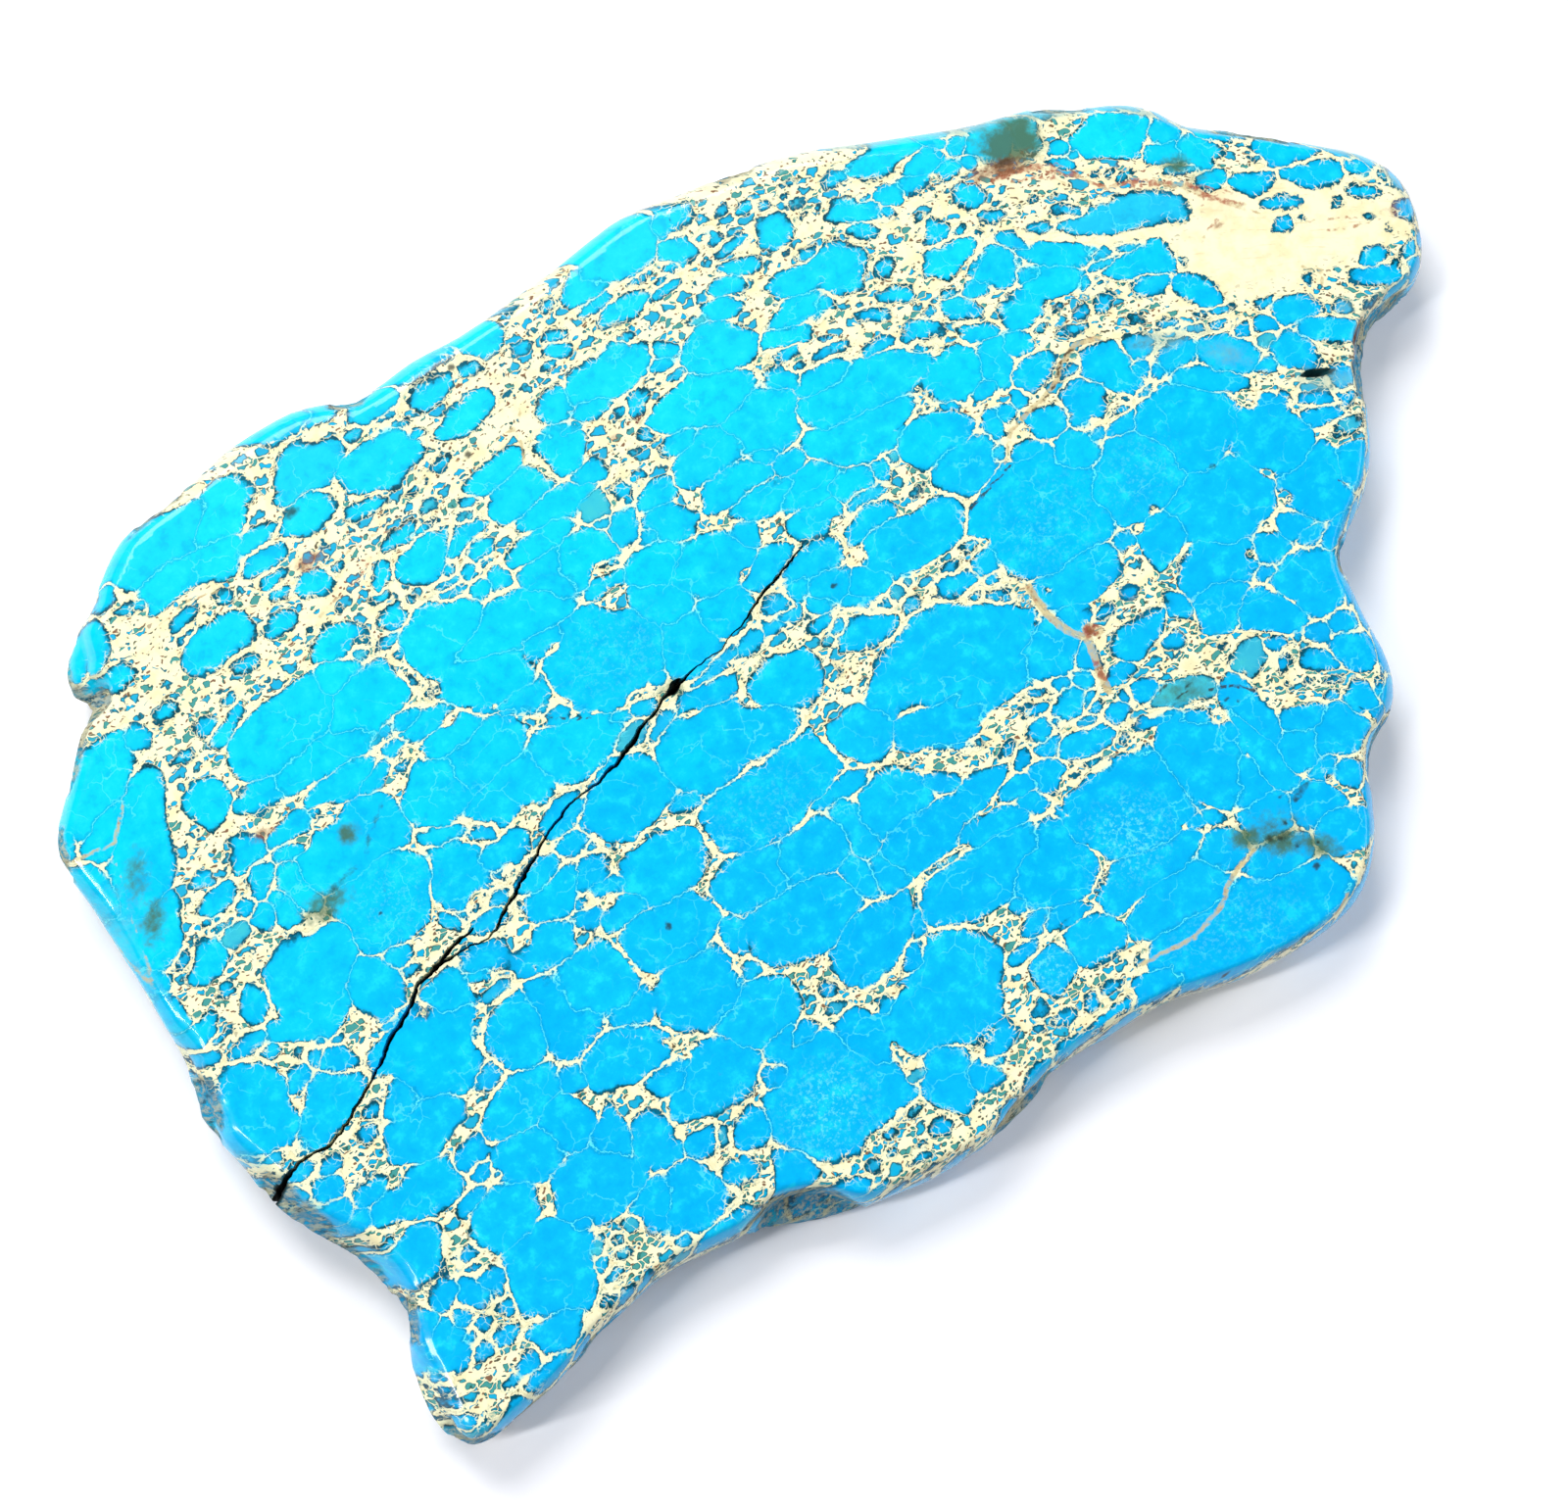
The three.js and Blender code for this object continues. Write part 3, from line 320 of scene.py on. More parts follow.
# ---------------------------------------------------------------- matrix, veins and stains
# half width, then the line the cream follows between the large nodules
CREAM_RUNS = [
    (0.35, [(-44.8, 5.5), (-46.5, 2.8), (-47.5, 0), (-48.5, -1.5)]),
    (0.25, [(-54, -14.7), (-51.5, -13.5), (-50.5, -11), (-45, -10.5)]),
    (0.35, [(-61, -33), (-56.5, -31.2), (-54, -31)]),
    (0.25, [(-33, 16.5), (-30, 14.5), (-26.5, 13.5), (-25, 11.5), (-24, 10.3)]),
    (0.3, [(-30.5, 12.5), (-28, 11), (-24, 9), (-23.5, 8.3), (-21, 8), (-19, 7.2)]),
    (0.3, [(-41, 5), (-39, 3.5)]),
    (0.35, [(-42.5, -7), (-42, -10)]),
    (0.3, [(-34, -12), (-34, -16.5), (-33, -18)]),
    (0.2, [(-29.5, 0), (-29.5, -3.5), (-27, -5.3), (-24, -5.8), (-22, -5), (-20.5, -6.5)]),
    (0.3, [(-20.5, -6.5), (-20, -7.5), (-18, -7.5)]),
    (0.3, [(-20, -8), (-20.5, -11.5), (-24.5, -13.3), (-23.3, -15.5), (-23.3, -18)]),
    (0.2, [(-16, -13.2), (-11.7, -13.6), (-6, -12)]),
    (0.3, [(-8, 3), (-9, 0.5), (-7.5, -2)]),
    (0.55, [(-17, -30.5), (-17, -33), (-13, -33)]),
    (0.4, [(-12, -31), (-9, -29), (-7.5, -27), (-6.5, -25.5)]),
    (0.4, [(-39, -20.5), (-35.5, -24), (-35, -26.5)]),
    (0.45, [(-41, -32.5), (-37, -32.5)]),
    (0.45, [(-36.5, -36), (-36.5, -38)]),
    (0.4, [(-17, -37), (-17, -40)]),
    (0.45, [(-4.8, -6.5), (-4.5, -10), (-4, -11.5)]),
    (0.45, [(0, -13), (3, -15.3), (6, -16.8), (11, -16.9), (17, -16.5)]),
    (0.4, [(13, 1), (17, 1), (21.5, -0.5)]),
    (0.4, [(16.5, -5), (20.5, -8)]),
    (0.35, [(16.5, -11), (20, -9.9)]),
    (0.4, [(20, 15.2), (24, 14.9), (25, 14.8), (28, 11.8), (32, 11)]),
    (0.45, [(24.5, -11.8), (31, -12)]),
    (0.6, [(25, -14), (28.5, -14.9), (32, -15.3)]),
    (0.4, [(28, 6), (31, 9)]),
    (0.4, [(-5.5, -25.2), (-1, -24.5), (1, -25), (2.5, -24), (5.8, -22.7), (8.5, -21)]),
    (0.3, [(11.2, -26.5), (11, -31), (11, -35), (9.5, -36), (5, -36.9), (0, -38), (-3, -38.5)]),
    (0.45, [(13, -25), (17.5, -25.2), (22, -26)]),
    (0.45, [(17.3, -28.3), (21.3, -29.3)]),
    (0.35, [(19.3, -35.3), (21.5, -37.3), (24, -38.4)]),
    (0.35, [(23, -34.7), (24.7, -38), (24.8, -40.3)]),
    (0.35, [(8.5, -40), (11, -39.8), (15.5, -40.2)]),
    (0.45, [(28.5, -26.8), (29.7, -28.8), (30.9, -31.5), (29.3, -33.8)]),
    (0.5, [(22, -18), (27, -21.3), (32, -25)]),
    (0.4, [(30.5, -47.5), (31, -50)]),
    (0.45, [(35.3, -39), (35, -41), (36.5, -43.3), (37, -45)]),
    (0.4, [(38.5, -40.7), (40, -41)]),
    (0.4, [(42, -36), (42.7, -38.2)]),
    (0.5, [(31.5, -48.5), (33, -48.8)]),
    (0.35, [(42, -20.5), (43, -23), (46, -25)]),
    (0.45, [(32, -20), (35, -22.2), (38, -24), (40, -26.5)]),
    (0.4, [(34, -13.5), (38, -13.5)]),
    (0.4, [(53, -14), (54.5, -15), (55, -16.5)]),
    (0.35, [(55, -6.5), (57.5, -8)]),
    (0.5, [(56, -10.5), (58.5, -11.5)]),
    (0.5, [(57, -12.5), (60, -13)]),
    (0.5, [(43.2, 25.3), (45, 24), (47, 22), (48.6, 20.3), (50.6, 19.2), (53, 18.6), (56, 16.8),
            (57.5, 14)]),
    (0.3, [(42.3, -16.5), (41, -18)]), (0.3, [(46, -15.8), (45.8, -18)]),
]
# x, y, half length, half width, turn: where thin cream walls part small nodules
NETWORK = [
    (-65.5, -30, 4, 8), (-65.5, -13.4, 4, 1.6, 20), (-58, -23, 3, 3), (-50.6, -38, 3.4, 2),
    (-36, -36, 3, 5), (-41, -29, 2.4, 2), (-20, -28, 2.4, 4), (-12, -31, 4, 1, 10),
    (-2.4, -37, 1.6, 5), (-62.5, 11, 4, 3), (-71, 3.6, 3, 4), (1, -1, 2.4, 3.4), (13, 0, 7, 1.6),
    (17.4, -4.4, 3, 1, -40), (37, 11, 3.6, 5), (45, 12, 7, 3.6, -20), (54.6, 6.4, 6, 2.6, -35),
    (67, 10, 8, 6, -35), (29, -13.4, 4, 1.6), (13, -19, 6, 3), (20, -25, 6, 2), (36, -26, 8, 3, -38),
    (30, -20, 3, 2), (22, 28.6, 7, 2.6), (27, 24.4, 5, 2), (40, 30, 6, 3, -10), (-9, -46, 5, 2.4),
    (0, -44, 5, 2.2), (14, 41, 4, 2), (57, -6, 3, 2, -30), (4.6, -17, 3, 1.4, -35), (-15, 42, 9, 6),
    (-33, 38, 12, 6), (-50, 36, 12, 6), (24, 42, 12, 6, -20), (5, 42, 8, 4), (-22.5, 28, 5, 5),
    (-29, 29, 6, 3),
]
# x, y, half length, half width, turn: where the cream lies wide between small nodules
MATRIX = [
    (-65.5, 18, 11, 1.9, 63), (-57, 19, 3.5, 2), (-53, 18.4, 3, 0.45), (-64.5, 7.6, 5, 1.5, 15),
    (-71, 6, 2.4, 5), (-66, 3, 0.8, 3), (-60, 6.4, 3, 0.8), (-58, 38, 4, 6), (-58.8, 28, 2, 3),
    (-56.8, 25, 1, 3), (-50, 31, 10, 2.6, 5), (-44, 36.6, 1.2, 3), (-56, 41, 3, 1.2), (-35, 36, 7, 5),
    (-24, 37.5, 6, 3), (-14, 38.5, 6, 2), (-12, 35, 1.4, 3), (-4.4, 31, 3, 3), (-6.4, 26.3, 2, 1.6),
    (-2.6, 28.5, 2.4, 3), (-4.5, 39.5, 5, 1.2), (-37.3, 50, 2.2, 3), (-45, 52.8, 7, 2, 3),
    (-38.4, 52.4, 4, 2), (-57.4, 43.6, 2, 4.6, -35), (-56, 48.6, 2.4, 1, 40), (-27.6, 48.8, 3, 1.4),
    (-38.6, 46, 1.2, 2.4), (-33, 40, 6, 1.4), (-7.6, 43, 2.6, 2.6), (-3.4, 47.4, 4, 3.4),
    (-17.6, 44, 3, 1), (-50, 42.4, 3, 0.7, 5), (-36, 23.6, 0.8, 3.4), (-35.6, 20, 1.2, 0.7),
    (-64.5, 37, 4.6, 2, 42), (-66, 39, 4, 1.5, 45), (6, 40.6, 6, 1.2, -8), (7.5, 43.6, 3, 0.6),
    (0.6, 43, 2, 1.2), (20, 42, 4, 3.4, -10), (27, 42, 7, 4.5, -25), (10, 38.4, 3.4, 1.3),
    (20.5, 36.8, 4, 1.2), (28, 46, 9, 3, -22), (29.4, 38.8, 3, 2.6), (18, 48, 4, 2.4),
    (-1, 49.6, 4, 2), (7.4, 36.8, 1.4, 0.8), (33, 33, 8, 2.4, -5), (29, 29.6, 5, 2.4, -15),
    (22, 27.6, 7, 3, -10), (46, 28.5, 7, 3.4, -30), (33, 25.5, 6, 1.4), (24, 25.2, 4, 1.2),
    (16, 34, 3, 1.4), (37.6, 38.4, 3, 0.9, -15), (38, 34.4, 3.4, 1.4, -5), (42.4, 33.6, 2, 0.8, -20),
    (53.4, 33.6, 3.5, 2, -35), (74, 13.4, 1, 4, 40), (0.5, 33, 4, 1.6), (55.4, 24.6, 5, 1.8, -42),
    (60.4, 20, 3.4, 0.8, -42), (49.5, 26.4, 5, 2, -35), (64, 10, 10, 6.4, -35),
    (67, 19, 3.4, 1.6, -40), (75, 6, 7, 3.6, -40), (79.4, 4, 3.4, 5.4, -10), (44.5, 13, 6, 2.4, -10),
    (41, 16, 3, 1.4), (50, 11, 4, 1.8, -35), (57, 5, 2.4, 0.9, -35), (67.4, -0.5, 4, 2.4, -25),
    (28, 21.6, 1.4, 1), (36, 20, 3, 1.6, -30), (17.8, 10.5, 1.1, 2.4, 15), (3.4, 13, 1.2, 1),
    (35.4, 9.6, 2.6, 0.6, 20), (39.5, 4.4, 2, 1.6), (30.5, 8, 1.4, 1.4), (1, 2, 1, 2.4),
    (-2.2, 3, 2.2, 0.6, 8), (-8.8, 0, 0.7, 0.7), (-76, -2, 2.6, 2.4), (-67, -3.4, 1.8, 1.2),
    (-60, -5, 2, 1.6, 30), (-69.5, -7.6, 1.2, 0.9, 40), (-67, -16.6, 2.8, 2.4, 30),
    (-64.8, -19.4, 1.3, 1), (-63.5, -12.4, 3, 1, 30), (-56.6, -18.8, 3, 1, 20),
    (-69.3, -23.8, 2.2, 1, -10), (-64.8, -28, 1, 2, -40), (-69.6, -31.4, 1.2, 0.8),
    (-67.4, -41.2, 5, 1, -4), (-72.8, -42, 1.8, 1.8), (-69, -44.6, 4, 0.9, 5), (-52.5, -42.8, 5, 2, 5),
    (-62, 17.4, 2, 1.4), (-36, -40, 1.4, 2.4, -30), (-41.4, -28, 1.8, 0.9, -30),
    (-45.5, -24, 0.6, 1.8), (-40, -32, 2, 0.6), (-20, -27.4, 1.4, 2), (-14.6, -31.6, 2, 0.5, 8),
    (-21, -45.8, 4.6, 3.4, -15), (-11, -47.2, 5, 1.4, 15), (-5.4, -45.4, 2.4, 1.4),
    (-4.4, -41.6, 1.4, 1.6, 30), (-17.2, -39.2, 0.9, 1.6), (-1, -33.8, 1.4, 2.4),
    (-3.6, -38.6, 1.4, 1.6), (3.5, -44.6, 6.5, 2.8, 12), (-15, -50.6, 9, 2),
    (24.4, -16.6, 2.4, 1.1, 30), (29.4, -22.8, 4, 0.8, -40), (37, -31, 3.4, 1.2, -35),
    (-49.6, -2.6, 2.4, 1.6, 10), (-51.4, -4, 2.6, 0.9, 10), (-41.4, -6.8, 1.8, 1.1, 60),
    (-34.2, -0.6, 0.6, 1.4), (-34.6, 3.2, 1, 0.6), (-17.6, 7.5, 1.2, 0.7), (-13.8, 17.6, 1, 2, -25),
    (-42.8, 13.8, 1.5, 1.2, 40), (-2.2, 21.3, 1.3, 1, 20), (-1.6, 18.4, 2.6, 0.5, -25),
    (-22, -5.5, 1.6, 0.6), (0.4, -3.6, 2.4, 2, 20), (5.4, -9, 1.6, 0.9, -15),
    (16.8, -4.4, 3.4, 0.9, -42), (11, -17, 4.4, 1.5, 5), (22, -20.4, 1.6, 0.5, -10),
    (14, -26, 2.8, 1.1, -8), (21, -26, 2.2, 1.1), (29, -13.2, 3.4, 1.1), (32.8, -11, 0.9, 1.4),
    (35.4, -13.8, 2.4, 0.8, 25), (32.4, -22.4, 5, 1.5, -38), (31.6, -18.6, 1.8, 1.2),
    (37.2, -28.8, 3, 1.2, -38), (40.5, -32, 4, 1.2, -30), (29, -27.4, 0.8, 2.2, 40),
    (32, -48.6, 1.6, 1.1, -20), (-49.5, 39.4, 6, 1.2), (-35.5, 30.5, 5.5, 2.6),
    (-27, 46.6, 4, 0.6, -8), (-14, 44.8, 5, 0.8), (-18.6, 40, 2, 1), (-11, 43.6, 1.4, 2),
    (31.5, 44.4, 3, 0.9, -20), (-20, 30, 0.8, 3), (56.4, -4, 3, 0.9, -40),
    (58.2, -11.8, 1.2, 0.9, -20), (62.6, -3.4, 2, 0.8, -40), (62.5, -8.4, 2, 1, 45),
]
# x, y, radius of the cream stars where several nodules meet
CREAM_STARS = [
    (5, -9.2, 1.3), (-60, 4.5, 0.6), (-54, 14.3, 0.8), (-50.7, 15, 1.1), (-49, -2.5, 1.1),
    (-60, -5.5, 1), (-53.8, -7.5, 1), (-48, -8.3, 0.7), (-65.5, -20, 0.9), (-54.5, -29.8, 1.2),
    (-13.7, 20, 1.1), (-21.7, 16.3, 0.8), (-34, 3.5, 1.1), (-43, -1, 0.9), (-37, -9.8, 0.7),
    (-34, -7.3, 0.6), (-32, -9, 0.6), (-14.5, 2.5, 0.7), (-42, -27, 1), (3.5, 13.7, 0.9),
    (-1.5, 11.5, 0.7), (9.3, 10.5, 0.6), (9.2, 6.6, 0.8), (-2, 3.3, 1.2), (1.2, -3.8, 1.3),
    (-2.5, -5, 0.9), (5, -9, 1.5), (37.5, -6.8, 0.5), (35, -7.5, 0.5), (33, -9.5, 0.6),
    (49, -10.8, 0.6), (49.5, -14, 0.6), (46, -15.8, 0.7), (42.3, -16.5, 0.6), (52.2, -3.3, 0.8),
    (54.5, -2.6, 0.8), (64, -5.3, 0.7), (16.8, 8.5, 1), (-0.5, -33.5, 1.2), (-40.5, 15.5, 0.7),
    (-35, 16.5, 0.8), (-14, 16.8, 1.2), (23.5, -7.8, 0.5),
]
# half width and line: fawn and brown veins
TAN_VEINS = [
    (0.42, [(21.7, -6.5), (21.6, -10), (22.3, -12.5), (23.5, -14.3), (23, -16), (22.3, -18.5),
            (22, -20)]),
    (0.6, [(24.2, -13.6), (24.8, -14.3)]),
    (0.26, [(8, -44.8), (14, -45.7), (18.3, -44.7), (20, -43.3), (21.5, -42.6), (24.5, -41.9)]),
    (0.3, [(29.5, -51), (28, -52.3)]),
    (0.16, [(-34, 37), (-31, 37), (-28, 36), (-26.5, 36.1)]),
    (0.16, [(-32, 35), (-34, 34), (-37, 33.5), (-40, 32.8)]),
    (0.16, [(-19, 38.6), (-17.5, 37.8), (-12.3, 38.1), (-10.5, 39.2)]),
    (0.16, [(-12.3, 38), (-12.5, 36), (-13.5, 34)]), (0.14, [(-54, 41.5), (-50, 42), (-46.5, 41)]),
    (0.2, [(-67, 28), (-70, 25), (-75.5, 26)]),
    (0.1, [(-76, 4), (-72.5, 18.5), (-71.5, 21), (-71, 23.5)]),
    (0.24, [(44.5, 31.6), (47, 31), (49.5, 30), (50.5, 28.5), (52, 27), (53, 25.3), (54, 24)]),
    (0.16, [(46, 30.4), (48.5, 29.3), (50, 28), (51, 26.6)]),
    (0.16, [(45.4, 32), (48, 31.2), (51, 29.4), (52.6, 26.6)]),
    (0.24, [(54, 24), (57, 23), (60, 20.5), (62, 17.5), (63.5, 15.5), (64.7, 14.3)]),
    (0.15, [(56, 22.6), (59, 21), (61, 18.4), (63.6, 14.8), (65.5, 12.6)]),
    (0.15, [(60.4, 21), (62, 18.8), (64.4, 16)]),
    (0.2, [(65.5, 5.3), (67, 3.7), (66, 2.3)]), (0.16, [(70, 7), (72, 6), (76, 4.5)]),
    (0.16, [(58.5, 13.5), (60, 14.2), (61.4, 14.6)]), (0.14, [(69, 9), (71.5, 7.6), (74, 6)]),
    (0.3, [(30, 8.2), (33, 8.9), (35.3, 9.2), (37, 9.9), (38.4, 11), (41, 12), (43.5, 11.2)]),
    (0.2, [(27.5, 5.6), (30, 8.2)]), (0.3, [(64.6, -6.4), (66.4, -4.6), (68, -3.2)]),
]
# half width and line: thin dark seams
DARK_SEAMS = [
    (0.12, [(33, 8.6), (35.3, 9), (37, 9.8), (38, 10.8), (39.2, 11.5), (40, 11.8), (41.5, 11.2)]),
    (0.1, [(36.4, 10.6), (37.8, 11.6), (39, 12.4)]), (0.16, [(21.6, 3.7), (23.5, 4.2), (28.3, 5.3)]),
    (0.25, [(58.5, -4.3), (61.5, -5.8)]), (0.14, [(62, -4.8), (63.6, -5.4), (64.6, -6.2)]),
    (0.15, [(54.5, -14.7), (55, -16.5)]), (0.14, [(25.2, -23.6), (26.8, -23), (28, -22.6)]),
    (0.12, [(26.5, -24.4), (28, -24.6), (29, -25)]), (0.12, [(30.4, -25.8), (33, -27), (34.2, -28.6)]),
    (0.3, [(-25.2, 50.5), (-23.8, 50.5)]),
    (0.1, [(-24.6, 9), (-22.6, 7.8)]), (0.1, [(-27, 11), (-24.6, 9)]),
    (0.12, [(27.6, 28.6), (29.4, 29.6)]), (0.12, [(33, 32.4), (36, 33.6)]),
]
# kind: x, y, half length, half width, turn, strength
STAINS = {
    "rust": [
        (-57, 17, 2, 1, 0, 0.6), (-37.5, 38.3, 1.8, 1, 0, 0.8), (-4, 31.3, 1, 0.6, 0, 0.6),
        (-1, 31.2, 1, 0.6, 0, 0.6), (46.4, 32.2, 2.4, 1.2, -15, 1.0), (43.8, 32.8, 1.8, 0.9, -10, 0.8),
        (49.2, 32.2, 1.2, 0.8, -30, 0.6), (77.8, 4.6, 1.8, 1.2, -20, 0.6), (61, 14, 0.9, 0.4, 0, 0.8),
        (66, -4.6, 3, 1, 42, 0.6), (24.4, -14, 0.8, 0.7, 0, 0.8), (22.6, -18, 0.5, 1.2, 0, 0.6),
        (-76.8, -2.8, 1.4, 1.4, 0, 0.7), (62, 20.6, 2, 0.8, -35, 0.35),
    ],
    "olive": [
        (-56, 7.3, 2.6, 1.5, 0, 0.8), (-50, 12.2, 1.1, 1.1, 0, 0.9), (-71, 16, 2.4, 1.3, 50, 0.7),
        (-70, 21, 2.8, 1.5, 55, 0.55), (48.4, 33.8, 3.2, 2.4, -20, 1.15), (50, 35, 2, 1.6, 0, 0.9),
        (46, 36.6, 1.6, 1.2, 0, 0.4), (61.5, 22, 1.6, 1, -40, 0.8), (62.8, 19.6, 1.4, 0.8, -30, 0.5),
        (24.5, -40.5, 1.8, 1.2, -30, 0.9), (27, -42.6, 2.4, 1.4, -40, 0.9),
        (30, -45.3, 2.4, 1.3, -55, 0.8), (27.4, -41.6, 3, 2.2, -30, 0.55),
        (28.5, -24.7, 3, 1.4, -20, 0.55), (-14.5, 5.8, 1.4, 1, 0, 0.7),
    ],
    "soot": [
        (-52, 3.5, 0.3, 0.25, 0, 0.9), (-53, 8.6, 3.6, 0.5, 8, 0.6), (-49, 10.2, 1.8, 0.45, 50, 0.6),
        (-46.6, 12, 2.2, 0.4, 35, 0.6), (-49.8, 5.8, 1.4, 0.4, 62, 0.55),
        (-36.2, 43.8, 1.2, 0.7, 0, 0.8), (-17.6, 38.5, 0.5, 0.5, 0, 1), (-13.8, 47.3, 0.5, 0.5, 0, 1),
        (-28.8, -14.3, 0.5, 0.5, 0, 0.8), (5.4, 5.2, 0.5, 0.4, 0, 0.9),
        (29.8, -39.1, 0.4, 0.3, 0, 0.9), (31.9, -39.6, 1, 0.35, 8, 0.8),
        (31.2, -40.2, 0.8, 0.2, 12, 0.8), (33, -39.4, 0.7, 0.25, -5, 0.7),
        (15.3, -51, 0.4, 0.4, 0, 0.9), (28.6, -41.4, 0.3, 0.3, 0, 0.9),
        (27.2, -42.6, 0.3, 0.3, 0, 0.9), (29.4, -43, 0.5, 0.2, -50, 0.9),
        (28.2, -44, 0.3, 0.4, 0, 0.9), (30.2, -45, 0.3, 0.25, 0, 0.8),
        (27.6, -45.2, 0.25, 0.25, 0, 0.8), (31.6, -27.8, 0.9, 0.2, -15, 0.8),
        (32.3, -28.4, 0.3, 0.25, 0, 0.9), (27.2, -24.8, 1.6, 0.3, 12, 0.7),
        (29, -24.2, 1.2, 0.25, 15, 0.7), (28.6, -46.9, 0.5, 0.5, 0, 0.9),
        (27.2, -42.2, 2.6, 1.3, -35, 0.5), (31.6, -39.8, 1.9, 0.5, 5, 0.6),
        (-63.4, 40.2, 1.4, 0.6, 25, 0.9), (-2.5, -34.4, 0.5, 0.4, 0, 0.9),
        (44.9, -6.9, 0.5, 0.5, 0, 0.9), (47.2, 7.6, 2.4, 0.7, -30, 0.5), (60, -5.1, 2, 0.6, -28, 0.8),
        (26.2, -41.8, 0.8, 0.35, -40, 0.7), (46.8, 32.6, 1.8, 0.8, -15, 0.6),
        (44, 33.2, 1.2, 0.6, -10, 0.5), (49.4, 32, 1.2, 0.8, 0, 0.45),
    ],
    # pale washes in the stone; the narrow band along the upper right edge is a painted reflection of
    # the rim's glare
    "veil": [
        (48.5, 7.2, 3.2, 1.3, -25, 0.8), (53.5, 2, 3, 1.5, -50, 0.7), (60, -6, 3.7, 1.4, -35, 0.8),
        (66.5, -1, 1.4, 1.1, 0, 0.7), (70, -2, 3, 1.4, 20, 0.5), (52, 6.2, 3, 1, -30, 0.5),
        (-72.5, 18, 3, 5, -10, 0.45), (36, 43.2, 5, 0.9, -28, 1), (46, 38, 5, 0.9, -25, 0.9),
        (54, 34.4, 4, 0.9, -30, 1), (62, 29.4, 3.6, 0.9, -45, 1), (66.5, 24, 3.6, 0.9, -50, 0.9),
        (72, 19.4, 4, 0.9, -42, 1), (77.6, 13, 3.4, 0.9, -50, 1), (79.8, 7.5, 1, 2.4, -10, 0.9),
    ],
    "pink": [
        (62.5, 16.5, 2.4, 3, 0, 0.7), (56, 24, 5, 2.4, -35, 0.6), (49.5, 29.5, 4, 2, -30, 0.6),
        (-34, 34.5, 5, 1.6, 10, 0.5), (-31, 37.6, 5, 1.5, 0, 0.4), (72, 6.5, 5, 2.2, -20, 0.35),
    ],
    "calm": [
        (65, 10.5, 10, 5.5, -15, 1.2), (72, 6, 6, 3.6, -20, 1), (58, 12, 4, 4, 0, 0.9),
        (47, 21.5, 5.5, 2, -35, 1), (53, 18.2, 4.5, 1.6, -15, 0.9),
    ],
    "cloud": [
        (14.5, -33.5, 4, 3.4, 10, 1), (-26, -38.5, 4.4, 3.4, 20, 0.9), (0, -40, 2.4, 2, 0, 1),
        (18, -47, 6, 2.4, -10, 0.4), (-50, 4, 4, 3, 0, 0.3), (27.5, -2, 5, 4, 0, 0.35),
        (-17, 12, 5, 4, 0, 0.3), (-14, -9.5, 5, 3, 0, 0.3), (38, -3, 4, 3, 0, 0.35),
    ],
}

# ---------------------------------------------------------------- breaks in the stone
# x, y, width, depth along the long open fissure
FISSURE = [
    (-81, -14.8, 1, 7.4), (-76.2, -13.9, 0.9, 7.2), (-74.5, -13.3, 0.6, 7.1), (-72, -12.8, 0.3, 7),
    (-68.7, -13, 0.34, 6.8), (-66, -12, 0.32, 6.6), (-63.5, -10.8, 0.3, 6.5), (-61, -9.6, 0.3, 6.4),
    (-59, -8.2, 0.52, 6.3), (-57, -7.1, 0.5, 6.2), (-55, -6.2, 0.42, 6.1), (-53, -4.9, 0.48, 6),
    (-51, -4.4, 0.54, 5.9), (-49, -4.2, 0.36, 5.8), (-47, -4.5, 0.16, 5.8), (-44.5, -4.8, 0.16, 5.7),
    (-43, -4.5, 0.28, 5.6), (-41.5, -3.6, 0.38, 5.5), (-39.5, -2.5, 0.42, 5.4),
    (-37.5, -1.2, 0.46, 5.3), (-35.5, -0.5, 0.32, 5.2), (-33.5, 0.5, 0.26, 5), (-31, 1.6, 0.3, 4.9),
    (-28.5, 2, 0.24, 4.8), (-26, 2.2, 0.3, 4.6), (-23.5, 2.6, 0.46, 4.5), (-21, 3.6, 0.6, 4.4),
    (-18.5, 4.4, 0.36, 4.1), (-16.5, 5.1, 0.3, 3.9), (-14, 5.8, 0.66, 3.4), (-12, 6.1, 0.2, 2.4),
    (-8, 6.3, 0.1, 1.8), (-4.5, 7.4, 0.13, 1.6), (-3, 8, 0.24, 1.7), (0, 9, 0.34, 1.8),
    (3, 9.8, 0.28, 1.6), (5.2, 10.5, 0.1, 0.8),
]
FISSURE_STEP = [(-50.6, -4.1, 0.25, 1.5), (-48.5, -3.7, 0.5, 2.4), (-46.8, -3.2, 0.45, 2.2),
                (-45, -3.1, 0.15, 1)]
# x, y, half length, half width, depth, turn
PITS = [(59.8, -4.9, 1.5, 0.5, 0.9, -25), (-14.2, 5.8, 1.2, 0.6, 1.5, 20)]
